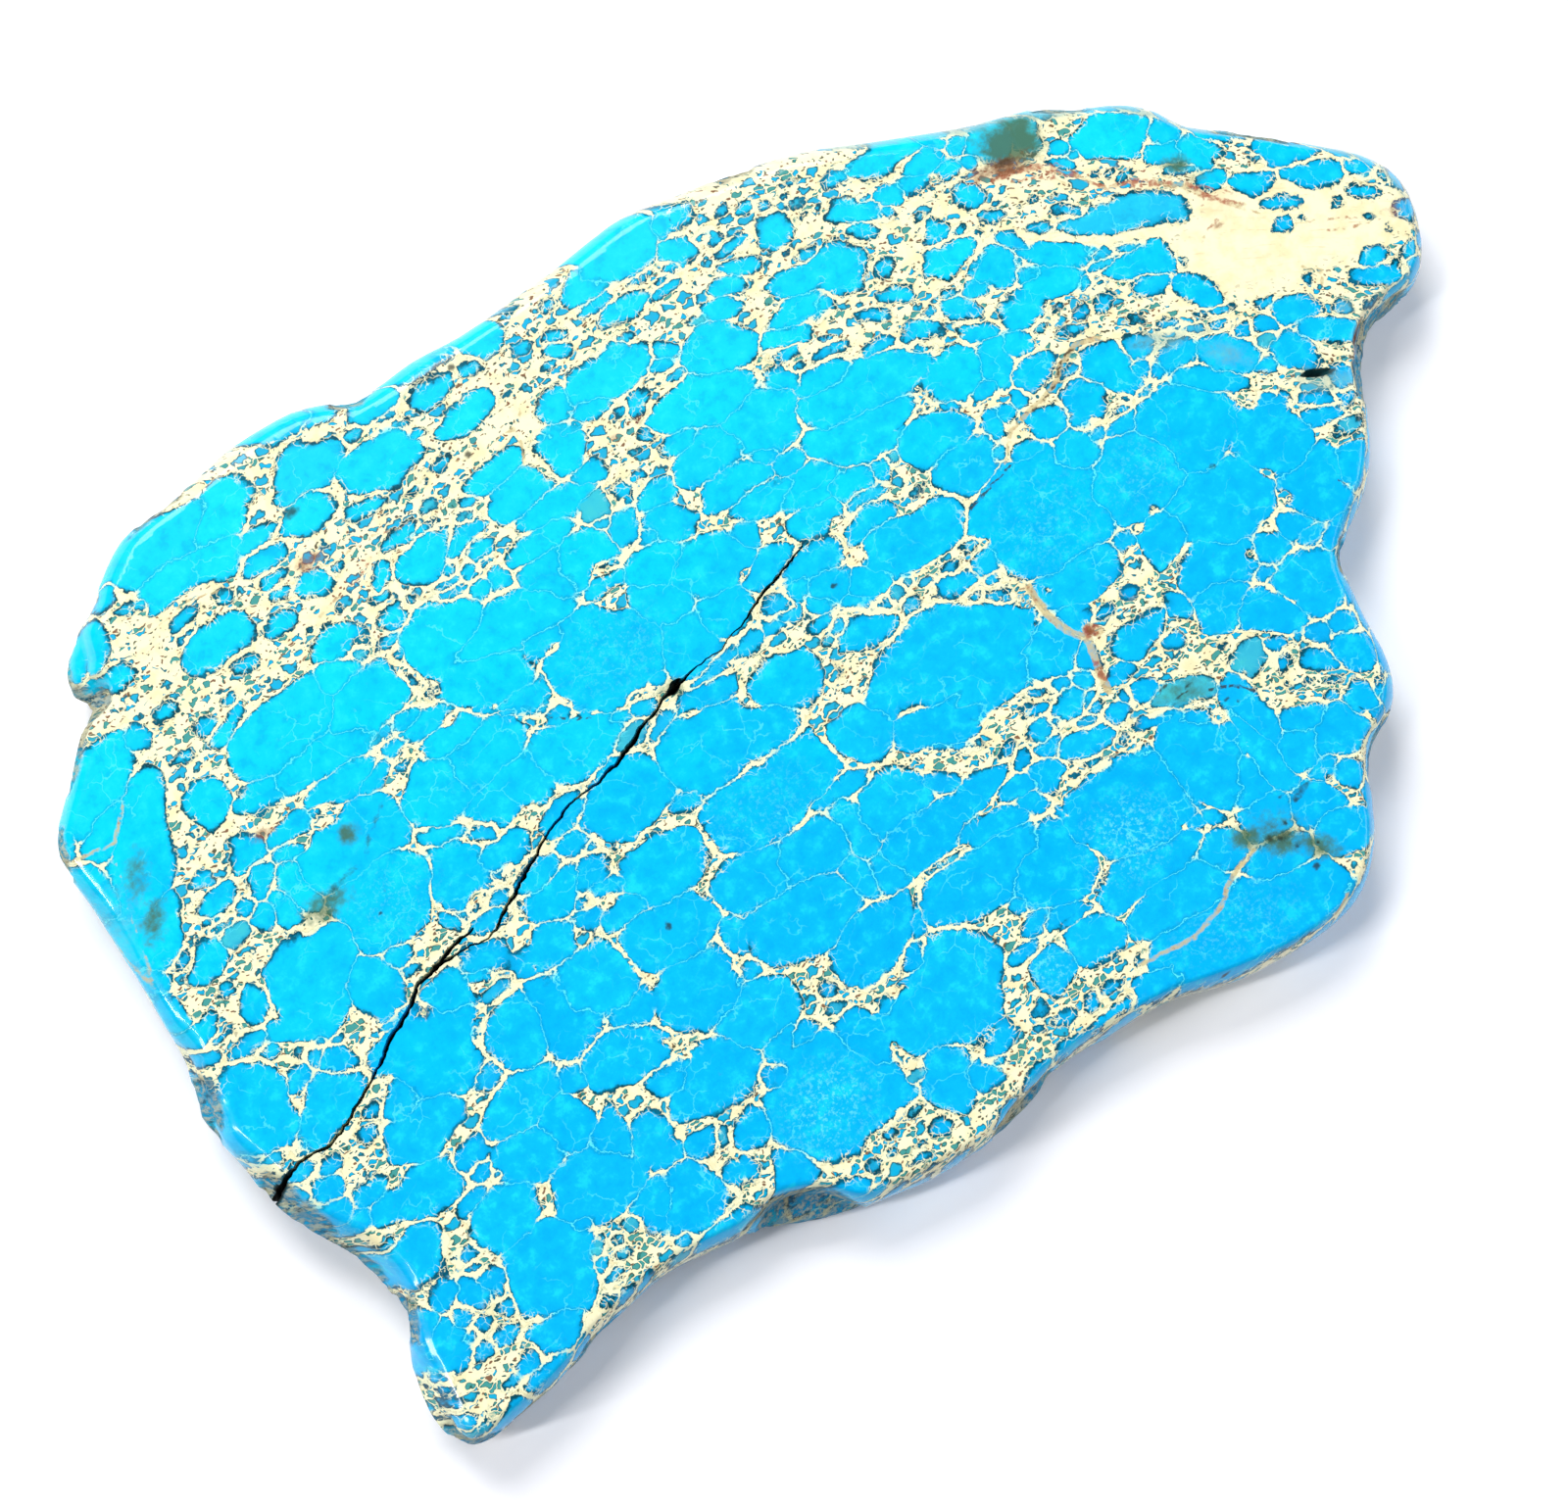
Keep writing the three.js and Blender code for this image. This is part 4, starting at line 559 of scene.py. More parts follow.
# x, y, half length along the edge, how far the wall stands back, the level it starts at
BROKEN_EDGE = [
    (-64.2, 42.6, 5, 2.6, 6.2), (-77, -2.4, 2.2, 0.8, 9.1), (-75.6, -14, 1.8, 0.8, 9),
    (-75.6, -17.6, 2.4, 1, 8.7), (-73.6, -24, 4, 0.9, 6.4), (-72.4, -31.4, 2.2, 1, 9.1),
    (-74.6, -38.5, 4, 0.7, 5.2), (-73.6, -45, 2.4, 0.7, 8), (-34.4, -46, 5.4, 2.2, 8.6),
    (-10, -49.8, 4.5, 1, 8.3), (-76, 28, 3, 0.7, 8.9), (-66.4, 36.4, 5, 0.7, 8.9),
    (-47, 52.6, 4, 0.5, 8.8), (-24.5, 51, 1.6, 0.6, 9.2), (69.6, -3.8, 4, 1, 7.6),
    (66.4, -5, 1.6, 0.9, 9.2), (63.6, -7.6, 2.2, 0.7, 9.1), (49.8, -21.6, 1.4, 0.6, 8.9),
    (41.2, -40.2, 3.4, 0.7, 8), (71, 20, 4, 0.4, 8.9), (79.6, 3, 3, 0.4, 7.4),
    (22.6, 47.4, 1.6, 0.4, 9.1), (55.5, 34, 3, 0.4, 8.8), (-63, -43.5, 8, 0.5, 7.4),
]

# ---------------------------------------------------------------- measuring

SAME = 1e4          # points that agree to one part in this many of a millimetre are one
LEVELS = [0.002, 0.45, 1.2, 2.3, 3.6, 4.9, 6.1, 7.2, 8.1, 8.85, 9.45, 9.83, 9.998]
STATIONS = 780      # points in each row round the wall
BASE_LEVEL = 1.25   # the section that the stations are spaced along
CLEAR = 4.4         # how far out of the base section the wall is felt for
MOUTH = (-77.6, -14)
MOUTH_REACH = 2.6


def mesh_points(mesh):
    """A mesh's points in millimetres."""
    points = np.empty(len(mesh.vertices) * 3, np.float32)
    mesh.vertices.foreach_get("co", points)
    return points.reshape(-1, 3).astype(float) / MM


def node_mesh(obj):
    """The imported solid's points, merged, and its triangles."""
    mesh = obj.data
    mesh.calc_loop_triangles()
    corners = np.empty(len(mesh.loop_triangles) * 3, np.int32)
    mesh.loop_triangles.foreach_get("vertices", corners)
    grid = np.round(mesh_points(mesh) * SAME).astype(np.int64)
    merged, place = np.unique(grid, axis=0, return_inverse=True)
    return merged / SAME, place.reshape(-1)[corners].reshape(-1, 3)


def section(points, triangles, level):
    """The longest closed line where the solid crosses a level, anticlockwise."""
    above = points[:, 2] > level
    cut = triangles[(above[triangles].sum(1) % 3) > 0]
    place, links = {}, {}
    for tri in cut:
        ends = []
        for a, b in zip(tri, np.roll(tri, -1)):
            if above[a] != above[b]:
                low, high = key = (min(a, b), max(a, b))
                share = (level - points[low, 2]) / (points[high, 2] - points[low, 2])
                place[key] = points[low, :2] * (1 - share) + points[high, :2] * share
                ends.append(key)
        links.setdefault(ends[0], []).append(ends[1])
        links.setdefault(ends[1], []).append(ends[0])
    loops, seen = [], set()
    for start in sorted(links):
        loop, onward = [], [start]
        while onward and onward[0] not in seen:
            seen.add(onward[0])
            loop.append(onward[0])
            onward = [k for k in links[onward[0]] if k not in seen]
        loops.append(np.array([place[k] for k in loop]))
    line = max(loops, key=len)
    x, y = line.T
    area = np.sum(x * np.roll(y, -1) - np.roll(x, -1) * y)
    return line if area > 0 else line[::-1]


def run_along(line):
    """How far along a line each of its points lies."""
    return np.concatenate([[0], np.cumsum(np.linalg.norm(np.diff(line, axis=0), axis=1))])


def around(line, count):
    """A closed line at even stations."""
    closed = np.vstack([line, line[:1]])
    run = run_along(closed)
    at = np.arange(count) / count * run[-1]
    return np.stack([np.interp(at, run, closed[:, k]) for k in (0, 1)], 1)


def softened(values, spread):
    """Closed values smoothed along the edge; spread is in stations."""
    reach = int(3 * spread)
    weights = np.exp(-0.5 * (np.arange(-reach, reach + 1) / spread) ** 2)
    weights /= weights.sum()
    padded = np.concatenate([values[-reach:], values, values[:reach]])
    return np.convolve(padded, weights, "valid")


def outward(line):
    """Smooth outward directions of an anticlockwise line."""
    calm = np.stack([softened(line[:, k], 3.0) for k in (0, 1)], 1)
    along = np.roll(calm, -2, axis=0) - np.roll(calm, 2, axis=0)
    away = np.stack([along[:, 1], -along[:, 0]], 1)
    return away / np.linalg.norm(away, axis=1)[:, None]


def drop(points, line):
    """Distance from points to an open line, in plan."""
    best = np.full(len(points), 1e9)
    for a, b in zip(line[:-1], line[1:]):
        a, b = np.array(a, float), np.array(b, float)
        step = b - a
        share = np.clip(((points - a) @ step) / max(step @ step, 1e-9), 0, 1)
        best = np.minimum(best, np.linalg.norm(points - a - share[:, None] * step, axis=1))
    return best


def turned(spots, x, y, a, b, turn):
    """Spots as an ellipse sees them, in its own half length and half width."""
    c, s = math.cos(math.radians(turn)), math.sin(math.radians(turn))
    u = ((spots[:, 0] - x) * c + (spots[:, 1] - y) * s) / a
    v = ((spots[:, 1] - y) * c - (spots[:, 0] - x) * s) / b
    return u, v


def within(spots, loop):
    """Whether spots lie inside a closed line."""
    inside = np.zeros(len(spots), bool)
    for a, b in zip(loop, np.roll(loop, -1, axis=0)):
        crosses = (a[1] > spots[:, 1]) != (b[1] > spots[:, 1])
        rise = (b[1] - a[1]) if b[1] != a[1] else 1e-12
        inside ^= crosses & (spots[:, 0] < (b[0] - a[0]) * (spots[:, 1] - a[1]) / rise + a[0])
    return inside


def nearness(points):
    """A tree that finds the nearest of several points."""
    tree = KDTree(len(points))
    for k, p in enumerate(points):
        tree.insert(p, k)
    tree.balance()
    return tree


def wall_profile(points, triangles):
    """Stations round the slab, their outward directions, and how far out each level lies."""
    base = around(section(points, triangles, BASE_LEVEL), STATIONS)
    away = outward(base)
    tree = BVHTree.FromPolygons([Vector(p) for p in points], [list(map(int, t)) for t in triangles])
    reach = np.full((STATIONS, len(LEVELS)), np.nan)
    for i in range(STATIONS):
        course = Vector((-away[i, 0], -away[i, 1], 0))
        for k, level in enumerate(LEVELS):
            start = Vector((*(base[i] + CLEAR * away[i]), level))
            hit = tree.ray_cast(start, course, 9.0)
            if hit[0] is not None:
                reach[i, k] = CLEAR - hit[3]
    mouth = np.linalg.norm(base - (np.array(MOUTH) - ORIGIN), axis=1) < MOUTH_REACH
    reach[mouth, 3:] = np.nan
    for k in range(len(LEVELS)):
        row = reach[:, k]
        known = ~np.isnan(row)
        row = np.interp(np.arange(STATIONS), np.flatnonzero(known), row[known], period=STATIONS)
        middle = np.median(np.stack([np.roll(row, s) for s in range(-6, 7)]), axis=0)
        row = np.where(np.abs(row - middle) > 0.9, middle, row)
        reach[:, k] = softened(row, 1.6)
    return base, away, reach


# ---------------------------------------------------------------- the skin

RIM_START = 6.6     # the level where the wall starts to round over
NEAR_SIDE = np.array([0.17, -0.985])
TOP_SPACING = 0.5
FOOT_SPACING = 0.95


def fine_levels():
    """Levels of the rows of points: close together over the rim and the foot."""
    foot = [0, 0.12, 0.3, 0.55, 0.85, 1.2]
    wall = [1.7 + 0.55 * k for k in range(11)]
    rim = [7.7, 8.1, 8.45, 8.77, 9.05, 9.29, 9.5, 9.67, 9.81, 9.91, 9.97, 10]
    return np.array(foot + wall + rim)


def rough(plan, z, size, seed):
    """Natural unevenness at places in plan."""
    return np.array([noise.fractal(Vector((x / size, y / size, z / size + seed)), 0.9, 2.1, 4)
                     for x, y in plan])


def wander(run, scale, y, z):
    """A slow wave along a run."""
    return np.array([noise.noise(Vector((a * scale, y, z))) for a in run])


def crust_share(plan, level):
    """How broken the wall is, 0 polished to 1 natural stone, and how far it stands back."""
    wave = np.array([noise.noise(Vector((x * 0.13, y * 0.13, 4.7))) for x, y in plan])
    uneven = rough(plan, level * 0.8, 2.4, 29.0)
    start = 1.9 + 1.5 * wave + 1.3 * uneven
    depth = np.zeros(len(plan))
    for x, y, half, back, high in BROKEN_EDGE:
        near = np.linalg.norm(plan + ORIGIN - np.array([x, y]), axis=1) / (half + 1.0) + 0.45 * uneven
        share = np.clip(2.6 - 2.1 * near, 0, 1)
        start = np.maximum(start, share * (high + 0.5) + 0.5 * uneven)
        depth = np.maximum(depth, share * min(back, 1.6))
    share = np.clip((start - level) / 0.9 + 0.5, 0, 1)
    return share * share * (3 - 2 * share), depth


def cap(loop, spacing, seed):
    """A flat sheet of fine triangles inside a closed line of points."""
    rng = np.random.default_rng(seed)
    low, high = loop.min(0), loop.max(0)
    xs = np.arange(low[0], high[0], spacing)
    ys = np.arange(low[1], high[1], spacing * 0.866)
    gx, gy = np.meshgrid(xs, ys)
    gx[1::2] += spacing / 2
    spots = np.stack([gx.ravel(), gy.ravel()], 1)
    spots += rng.uniform(-0.13, 0.13, spots.shape) * spacing
    near = np.full(len(spots), 1e9)
    for a in loop:
        near = np.minimum(near, (spots[:, 0] - a[0]) ** 2 + (spots[:, 1] - a[1]) ** 2)
    spots = spots[within(spots, loop) & (near > (0.6 * spacing) ** 2)]
    every = np.vstack([loop, spots])
    ring = list(range(len(loop)))
    made = delaunay_2d_cdt([Vector(p) for p in every], [], [ring], 1, 1e-6)
    source = [ids[0] for ids in made[3]]
    return spots, [[source[k] for k in face] for face in made[2]]


def wall_rows(points, triangles):
    """The rows of points up the wall, and the stations they start from."""
    base, away, reach = wall_profile(points, triangles)
    widest = np.array([np.interp(RIM_START, LEVELS, r) for r in reach])
    sharp = 1 - 0.5 * np.clip(away @ NEAR_SIDE, 0, 1)
    rows = []
    for level in fine_levels():
        out = np.array([np.interp(level, LEVELS, r) for r in reach])
        if level > RIM_START:
            out = widest + (out - widest) * sharp
        plan = base + out[:, None] * away
        crust, depth = crust_share(plan, level)
        shape = rough(plan, level * 1.4, 2.6, 11.0)
        ledge = rough(plan, level * 3.0, 5.5, 3.0)
        cut = crust * (0.16 + 0.22 * np.clip(shape + 0.3, 0, 1.4) + 0.35 * depth * np.clip(ledge, 0, 1))
        cut *= min(1.0, level / 0.5 + 0.25)
        cut += 0.03 * (1 - crust) * min(1.0, (THICKNESS - level) / 2) * np.clip(shape, 0, 1)
        rows.append(np.column_stack([plan - cut[:, None] * away, np.full(STATIONS, level)]))
    return rows, base


def skin_mesh(points, triangles):
    """The slab's closed surface before the fissure and pits are cut."""
    rows, base = wall_rows(points, triangles)
    faces = []
    for a in range(0, (len(rows) - 1) * STATIONS, STATIONS):
        b = a + STATIONS
        for i in range(STATIONS):
            j = (i + 1) % STATIONS
            faces.append([a + i, a + j, b + j, b + i])
    last_row = (len(rows) - 1) * STATIONS
    first = len(rows) * STATIONS
    verts = [np.vstack(rows)]
    spots, sheet = cap(rows[-1][:, :2], TOP_SPACING, 5)
    verts.append(np.column_stack([spots, np.full(len(spots), THICKNESS)]))
    faces += [[last_row + k if k < STATIONS else first + k - STATIONS for k in f] for f in sheet]
    first += len(spots)
    spots, sheet = cap(rows[0][:, :2], FOOT_SPACING, 6)
    verts.append(np.column_stack([spots, np.zeros(len(spots))]))
    faces += [[k if k < STATIONS else first + k - STATIONS for k in f[::-1]] for f in sheet]
    return np.vstack(verts), faces, base


def make_mesh(name, points, faces):
    mesh = bpy.data.meshes.new(name)
    mesh.from_pydata([tuple(p * MM) for p in points], [], faces)
    mesh.update()
    return mesh


def fissure_cutter(name, line, seed):
    """A ragged wedge along a line of x, y, width, depth, standing up through the top."""
    given = np.array(line, float)
    run = run_along(given[:, :2])
    at = np.linspace(0, run[-1], max(8, int(run[-1] / 0.38)))
    x, y, width, depth = (np.interp(at, run, given[:, k]) for k in range(4))
    spots = np.stack([x, y], 1) - ORIGIN
    along = np.gradient(spots, axis=0)
    side = np.stack([-along[:, 1], along[:, 0]], 1) / np.linalg.norm(along, axis=1)[:, None]
    sway = wander(at, 0.55, 1.3, seed) * 0.24
    sway += wander(at, 1.9, 7.3, seed) * 0.16
    spots = spots + sway[:, None] * side
    lines = []
    for share, level in ((1.0, 0.6), (0.98, 0.0), (0.6, -0.5), (0.12, -1.0)):
        for hand in (-1, 1):
            wear = wander(at, 1.2, level * 2, hand * 3.1 + seed)
            half = width * 0.5 * share * (1 + 0.75 * wear) + 0.02
            z = THICKNESS + (level if level > 0 else level * depth)
            flat = spots + hand * half[:, None] * side
            lines.append(np.column_stack([flat, np.broadcast_to(z, len(at))]))
    order = [0, 2, 4, 6, 7, 5, 3, 1]
    n, sides = len(at), len(order)
    faces = []
    for s in range(sides):
        t = (s + 1) % sides
        for i in range(n - 1):
            faces.append([s * n + i, s * n + i + 1, t * n + i + 1, t * n + i])
    faces.append([s * n for s in range(sides)])
    faces.append([s * n + n - 1 for s in range(sides)][::-1])
    return make_mesh(name, np.vstack([lines[k] for k in order]), faces)


def pit_cutter(name, x, y, length, width, depth, turn, seed):
    """A rough ball that scoops a small natural hole out of the polished face."""
    rings, parts = 9, 22
    c, s = math.cos(math.radians(turn)), math.sin(math.radians(turn))
    verts = []
    for r in range(rings + 1):
        tilt = math.pi * r / rings
        for p in range(parts):
            spin = 2 * math.pi * p / parts
            u, v, w = math.sin(tilt) * math.cos(spin), math.sin(tilt) * math.sin(spin), math.cos(tilt)
            size = 1 + 0.35 * noise.noise(Vector((u * 1.7 + seed, v * 1.7, w * 1.7)))
            a, b = u * length * size, v * width * size
            verts.append([x - ORIGIN[0] + a * c - b * s, y - ORIGIN[1] + a * s + b * c,
                          THICKNESS + w * depth * size])
    verts = np.array(verts)
    poles = [verts[:parts].mean(0), verts[-parts:].mean(0)]
    last = 2 + (rings - 2) * parts
    faces = []
    for p in range(parts):
        q = (p + 1) % parts
        faces.append([0, 2 + p, 2 + q])
        faces.append([1, last + q, last + p])
        for a in range(2, last, parts):
            faces.append([a + p, a + parts + p, a + parts + q, a + q])
    return make_mesh(name, np.vstack([poles, verts[parts:-parts]]), faces)


def facing_out(mesh):
    """Turns a closed cutter's faces outwards if its volume comes out negative."""
    mesh.calc_loop_triangles()
    total = 0.0
    for t in mesh.loop_triangles:
        a, b, c = (mesh.vertices[k].co for k in t.vertices)
        total += a.dot(b.cross(c))
    if total < 0:
        mesh.flip_normals()
    return mesh


def placed(name, data):
    """A new object in the scene, at the origin."""
    made = bpy.data.objects.new(name, data)
    bpy.context.scene.collection.objects.link(made)
    return made


def carved(mesh, cutters):
    """The skin with the cutters taken out of it, as one plain mesh."""
    slab = placed("turquoise_stone", mesh)
    tools = [placed(cutter.name, facing_out(cutter)) for cutter in cutters]
    for tool in tools:
        cut = slab.modifiers.new(tool.name, "BOOLEAN")
        cut.operation = "DIFFERENCE"
        cut.solver = "MANIFOLD"
        cut.object = tool
    view = bpy.context.evaluated_depsgraph_get()
    result = bpy.data.meshes.new_from_object(slab.evaluated_get(view))
    slab.modifiers.clear()
    slab.data = result
    for tool in tools:
        bpy.data.objects.remove(tool)
    return slab


# ---------------------------------------------------------------- the pattern on the skin

FIELDS = 9          # neighbouring nodules never share one of these distance fields
FAR = 9.0
TOP = 9.985         # points above this level belong to the polished face


def full(rows):
    """Rows of ellipses, with a turn of 0 where none is given."""
    return [(*row, 0)[:5] for row in rows]


def all_nodules(edge):
    """Every nodule as a list of its lobes, and its kind."""
    rng = np.random.default_rng(21)
    every = [([row], None) for rows in NODULES.values() for row in full(rows)]
    every += [(full(rows), None) for rows in JOINED_NODULES]
    every += [([row], "green") for row in full(GREEN_NODULES)]
    every += [([row], "dark") for row in full(DARK_NODULES)]
    lobes = np.array([row for group, _ in every for row in group], float)
    for x, y, size in filling_spots(lobes, edge, rng):
        every.append(([(x, y, size, size * rng.uniform(0.55, 0.9), rng.uniform(-40, 30))], "hidden"))
    return every


def filling_spots(lobes, edge, rng):
    """Places for nodules beyond the polished face, where the veins lean out under it."""
    gx, gy = np.meshgrid(np.arange(-96, 97, 2.3), np.arange(-72, 73, 2.3))
    spots = np.stack([gx.ravel(), gy.ravel()], 1) + rng.uniform(-1.0, 1.0, (gx.size, 2))
    spots = rng.permutation(spots[~within(spots, edge + ORIGIN)])
    found = []
    held = [(x, y, max(a, b) * 0.9) for x, y, a, b, _ in lobes]
    for x, y in spots:
        room = min(math.hypot(x - u, y - v) - r for u, v, r in held)
        if room > 0.8:
            size = min(room * 1.1, rng.uniform(0.9, 4.6))
            found.append((x, y, size))
            held.append((x, y, size))
    return found


def lobe_distance(spots, row, shape):
    """About how far spots lie outside one rounded, uneven lobe; negative inside."""
    a, b = row[2:4]
    u, v = turned(spots, *row)
    angle = np.arctan2(v, u)
    swell = 1 + 0.06 * np.sin(2 * angle + shape[0]) + 0.06 * np.sin(3 * angle + shape[1])
    swell = swell + 0.045 * np.sin(5 * angle + shape[2])
    rho = np.sqrt(u * u + v * v) / swell
    slope = np.sqrt((u / a) ** 2 + (v / b) ** 2) / swell ** 2
    return rho * (rho - 1) / np.maximum(slope, 0.12 / a * np.maximum(rho, 0.3))


def lobe_gap(p, q):
    """Room between two lobes along the line that joins them."""
    dx, dy = q[0] - p[0], q[1] - p[1]
    far = math.hypot(dx, dy) + 1e-9
    for row in (p, q):
        turn = math.radians(row[4])
        along = (dx * math.cos(turn) + dy * math.sin(turn)) / far
        across = (dy * math.cos(turn) - dx * math.sin(turn)) / far
        far -= 1 / math.sqrt((along / row[2]) ** 2 + (across / row[3]) ** 2)
    return far


def shared_out(every):
    """Each nodule's field, so that neighbours never share one."""
    size = [max(max(r[2], r[3]) for r in rows) for rows, _ in every]
    centre = [np.mean([[r[0], r[1]] for r in rows], axis=0) for rows, _ in every]
    order = sorted(range(len(every)), key=lambda k: -size[k])
    chosen = {}
    for k in order:
        room = [99.0] * FIELDS
        for other, field in chosen.items():
            if np.hypot(*(centre[k] - centre[other])) < size[k] + size[other] + 14:
                gap = min(lobe_gap(p, q) for p in every[k][0] for q in every[other][0])
                room[field] = min(room[field], gap)
        free = [f for f in range(FIELDS) if room[f] > 1.6]
        chosen[k] = free[k % len(free)] if free else int(np.argmax(room))
    return [chosen[k] for k in range(len(every))]


def growth_at(spots):
    """How far the nodules swell at each spot: less where the cream lies wide."""
    growth = 1.25 - 0.6 * patches(spots, NETWORK)
    growth += (-0.01 - growth) * patches(spots, MATRIX)
    for half, line in CREAM_RUNS:
        share = np.clip((half + 0.1 - drop(spots, line)) / 0.35, 0, 1)
        growth += (0.45 - 1.2 * half - growth) * share
    for x, y, r in CREAM_STARS:
        share = np.clip(1.3 - np.hypot(spots[:, 0] - x, spots[:, 1] - y) / (1.5 * r), 0, 1)
        growth += (-0.7 - growth) * share
    return growth


def nodule_fields(spots, edge):
    """The distance fields and the tone of the nearest nodule, at each spot."""
    rng = np.random.default_rng(8)
    every = all_nodules(edge)
    growth = growth_at(spots)
    dist = np.full((len(spots), FIELDS), 3.0)
    nearest = np.full(len(spots), FAR)
    tone = np.zeros((len(spots), 3))
    for (rows, kind), field in zip(every, shared_out(every)):
        shape = rng.uniform(0, 6.28, 3)
        smallest = min(min(r[2], r[3]) for r in rows)
        green = 0.75 if kind in ("green", "dark") else 0.75 * max(0, 0.85 - smallest) ** 0.8
        green += rng.uniform(0, 0.16)
        shade = 1.0 if kind == "dark" else rng.uniform(0, 0.35) + 0.35 * max(0, 1.6 - smallest)
        light = rng.uniform(0, 1)
        away = np.full(len(spots), FAR)
        vigour = min(1.0, 0.25 + smallest / 2.2)
        for row in rows:
            reach = max(row[2], row[3]) * 1.25 + 4.5
            near = np.flatnonzero((np.abs(spots - row[:2]) < reach).all(1))
            more = vigour * growth[near] + (0.2 if kind == "hidden" else 0)
            away[near] = np.minimum(away[near], lobe_distance(spots[near], row, shape) - more)
        dist[:, field] = np.minimum(dist[:, field], away)
        mine = away < nearest
        nearest[mine] = away[mine]
        tone[mine] = (green, shade, light)
    return dist, tone


def stain(spots, kind):
    """Soft-edged patches of one kind, the strongest at each spot."""
    value = np.zeros(len(spots))
    for *row, strength in STAINS[kind]:
        u, v = turned(spots, *row)
        value = np.maximum(value, strength * np.clip(1.35 - 0.85 * np.sqrt(u * u + v * v), 0, 1))
    return value


def patches(spots, rows):
    """1 inside any of several ellipses, 0 well outside them, with a narrow soft border."""
    value = np.zeros(len(spots))
    for row in full(rows):
        u, v = turned(spots, *row)
        depth = (1.0 - np.sqrt(u * u + v * v)) * min(row[2:4])
        value = np.maximum(value, np.clip(depth + 0.7, 0, 1))
    return value


def inside_lines(spots, lines):
    """How deep spots lie inside lines of a given half width; negative outside."""
    depth = np.full(len(spots), -2.0)
    for half, line in lines:
        depth = np.maximum(depth, half - drop(spots, line))
    return depth


def crust_on(points):
    """The crust's share at every point; none on the polished face, some underneath."""
    share = np.zeros(len(points))
    wall = points[:, 2] < 9.99
    for level in np.unique(np.round(points[wall, 2], 1)):
        these = wall & (np.abs(points[:, 2] - level) <= 0.0501)
        if these.any():
            share[these] = crust_share(points[these, :2], level)[0]
    share[points[:, 2] < 0.001] = 0.45
    return share


def hollow_on(points, skin_points):
    """How deep a point lies in the fissure or a pit, from 0 at the polished face to 1."""
    tree = nearness(skin_points)
    share = np.zeros(len(points))
    spots = points[:, :2] + ORIGIN
    x, y = PITS[0][:2]
    close = drop(spots, [row[:2] for row in FISSURE]) < 1.7
    close |= np.hypot(spots[:, 0] - x, spots[:, 1] - y) < 2.6
    for k in np.flatnonzero(close & (points[:, 2] < TOP) & (points[:, 2] > 0.5)):
        if tree.find(points[k])[2] > 0.002:
            share[k] = min(1.0, 0.35 + (THICKNESS - points[k, 2]) / 2.2)
    return share


def add_field(mesh, name, columns):
    held = mesh.attributes.new(name, "FLOAT_VECTOR", "POINT")
    held.data.foreach_set("vector", np.column_stack(columns).astype(np.float32).ravel())


def add_pattern(mesh, skin_points, base):
    """Writes the pattern's fields on the finished mesh, one value for each point."""
    points = mesh_points(mesh)
    spots = points[:, :2] + ORIGIN + DIP * (THICKNESS - points[:, 2:3])
    swing = np.stack([np.sin(spots[:, 1] * 0.83 + 1.1) + np.sin(spots[:, 0] * 0.57 + 0.4),
                      np.sin(spots[:, 0] * 0.71 + 2.0) + np.sin(spots[:, 1] * 0.49 + 5.1)], 1)
    bent = spots + 0.16 * swing
    dist, tone = nodule_fields(bent, base)
    for k, name in enumerate(("nodules_a", "nodules_b", "nodules_c")):
        add_field(mesh, name, dist[:, 3 * k:3 * k + 3].T)
    add_field(mesh, "tone", tone.T)
    runs = inside_lines(bent, [run for run in CREAM_RUNS if run[0] > 0.56])
    add_field(mesh, "veins", [runs, inside_lines(spots, TAN_VEINS), inside_lines(spots, DARK_SEAMS)])
    add_field(mesh, "stains", [stain(spots, kind) for kind in ("rust", "olive", "soot")])
    add_field(mesh, "veils", [stain(spots, kind) for kind in ("veil", "pink", "calm")])
    add_field(mesh, "faces", [stain(spots, "cloud"), crust_on(points), hollow_on(points, skin_points)])


# ---------------------------------------------------------------- the flat layout

FACE_SCALE = 1 / 164.0
FACE_MARGIN = 0.008
UNDERSIDE_AT = np.array([0.008, 0.672])
STRIPS = 4
STRIP_LENGTH = STATIONS // STRIPS


def on_strip(stations, heights):
    """Where corners on the wall go: in one of the strips that the wall is cut into."""
    if np.ptp(stations) > STATIONS / 2:
        stations[stations < STATIONS / 2] += STATIONS
    turn = stations.min() // STRIP_LENGTH
    across = 0.51 + (stations - turn * STRIP_LENGTH) / STRIP_LENGTH * 0.475
    return np.stack([across, 0.675 + 0.079 * (int(turn) % STRIPS) + heights / THICKNESS * 0.066], 1)


def lay_out(mesh, base):
    """A UV map: the polished face large, the wall in four strips, the underside small."""
    points = mesh_points(mesh)
    tree = nearness([(x, y, 0) for x, y in base])
    station = np.array([tree.find((x, y, 0))[1] for x, y, _ in points], float)
    hollow = np.empty(len(points) * 3, np.float32)
    mesh.attributes["faces"].data.foreach_get("vector", hollow)
    open_in = (hollow[2::3] > 0) | (points[:, 2] > 9.99)
    plan = points[:, :2] - points[:, :2].min(0)
    values = np.zeros((len(mesh.loops), 2))
    for face in mesh.polygons:
        corners = list(face.vertices)
        z = points[corners, 2]
        inner = face.normal.z > -0.2 and z.min() > 0.5 and open_in[corners].all()
        if inner or z.min() > 9.99:
            flat = plan[corners] * FACE_SCALE + FACE_MARGIN
        elif z.max() < 0.001:
            flat = plan[corners] * FACE_SCALE * 0.5 + UNDERSIDE_AT
        else:
            flat = on_strip(station[corners], z)
        values[list(face.loop_indices)] = flat
    uv = mesh.uv_layers.new(name="OFBake")
    uv.data.foreach_set("uv", values.astype(np.float32).ravel())
    mesh.uv_layers.active = uv


# ---------------------------------------------------------------- finishes


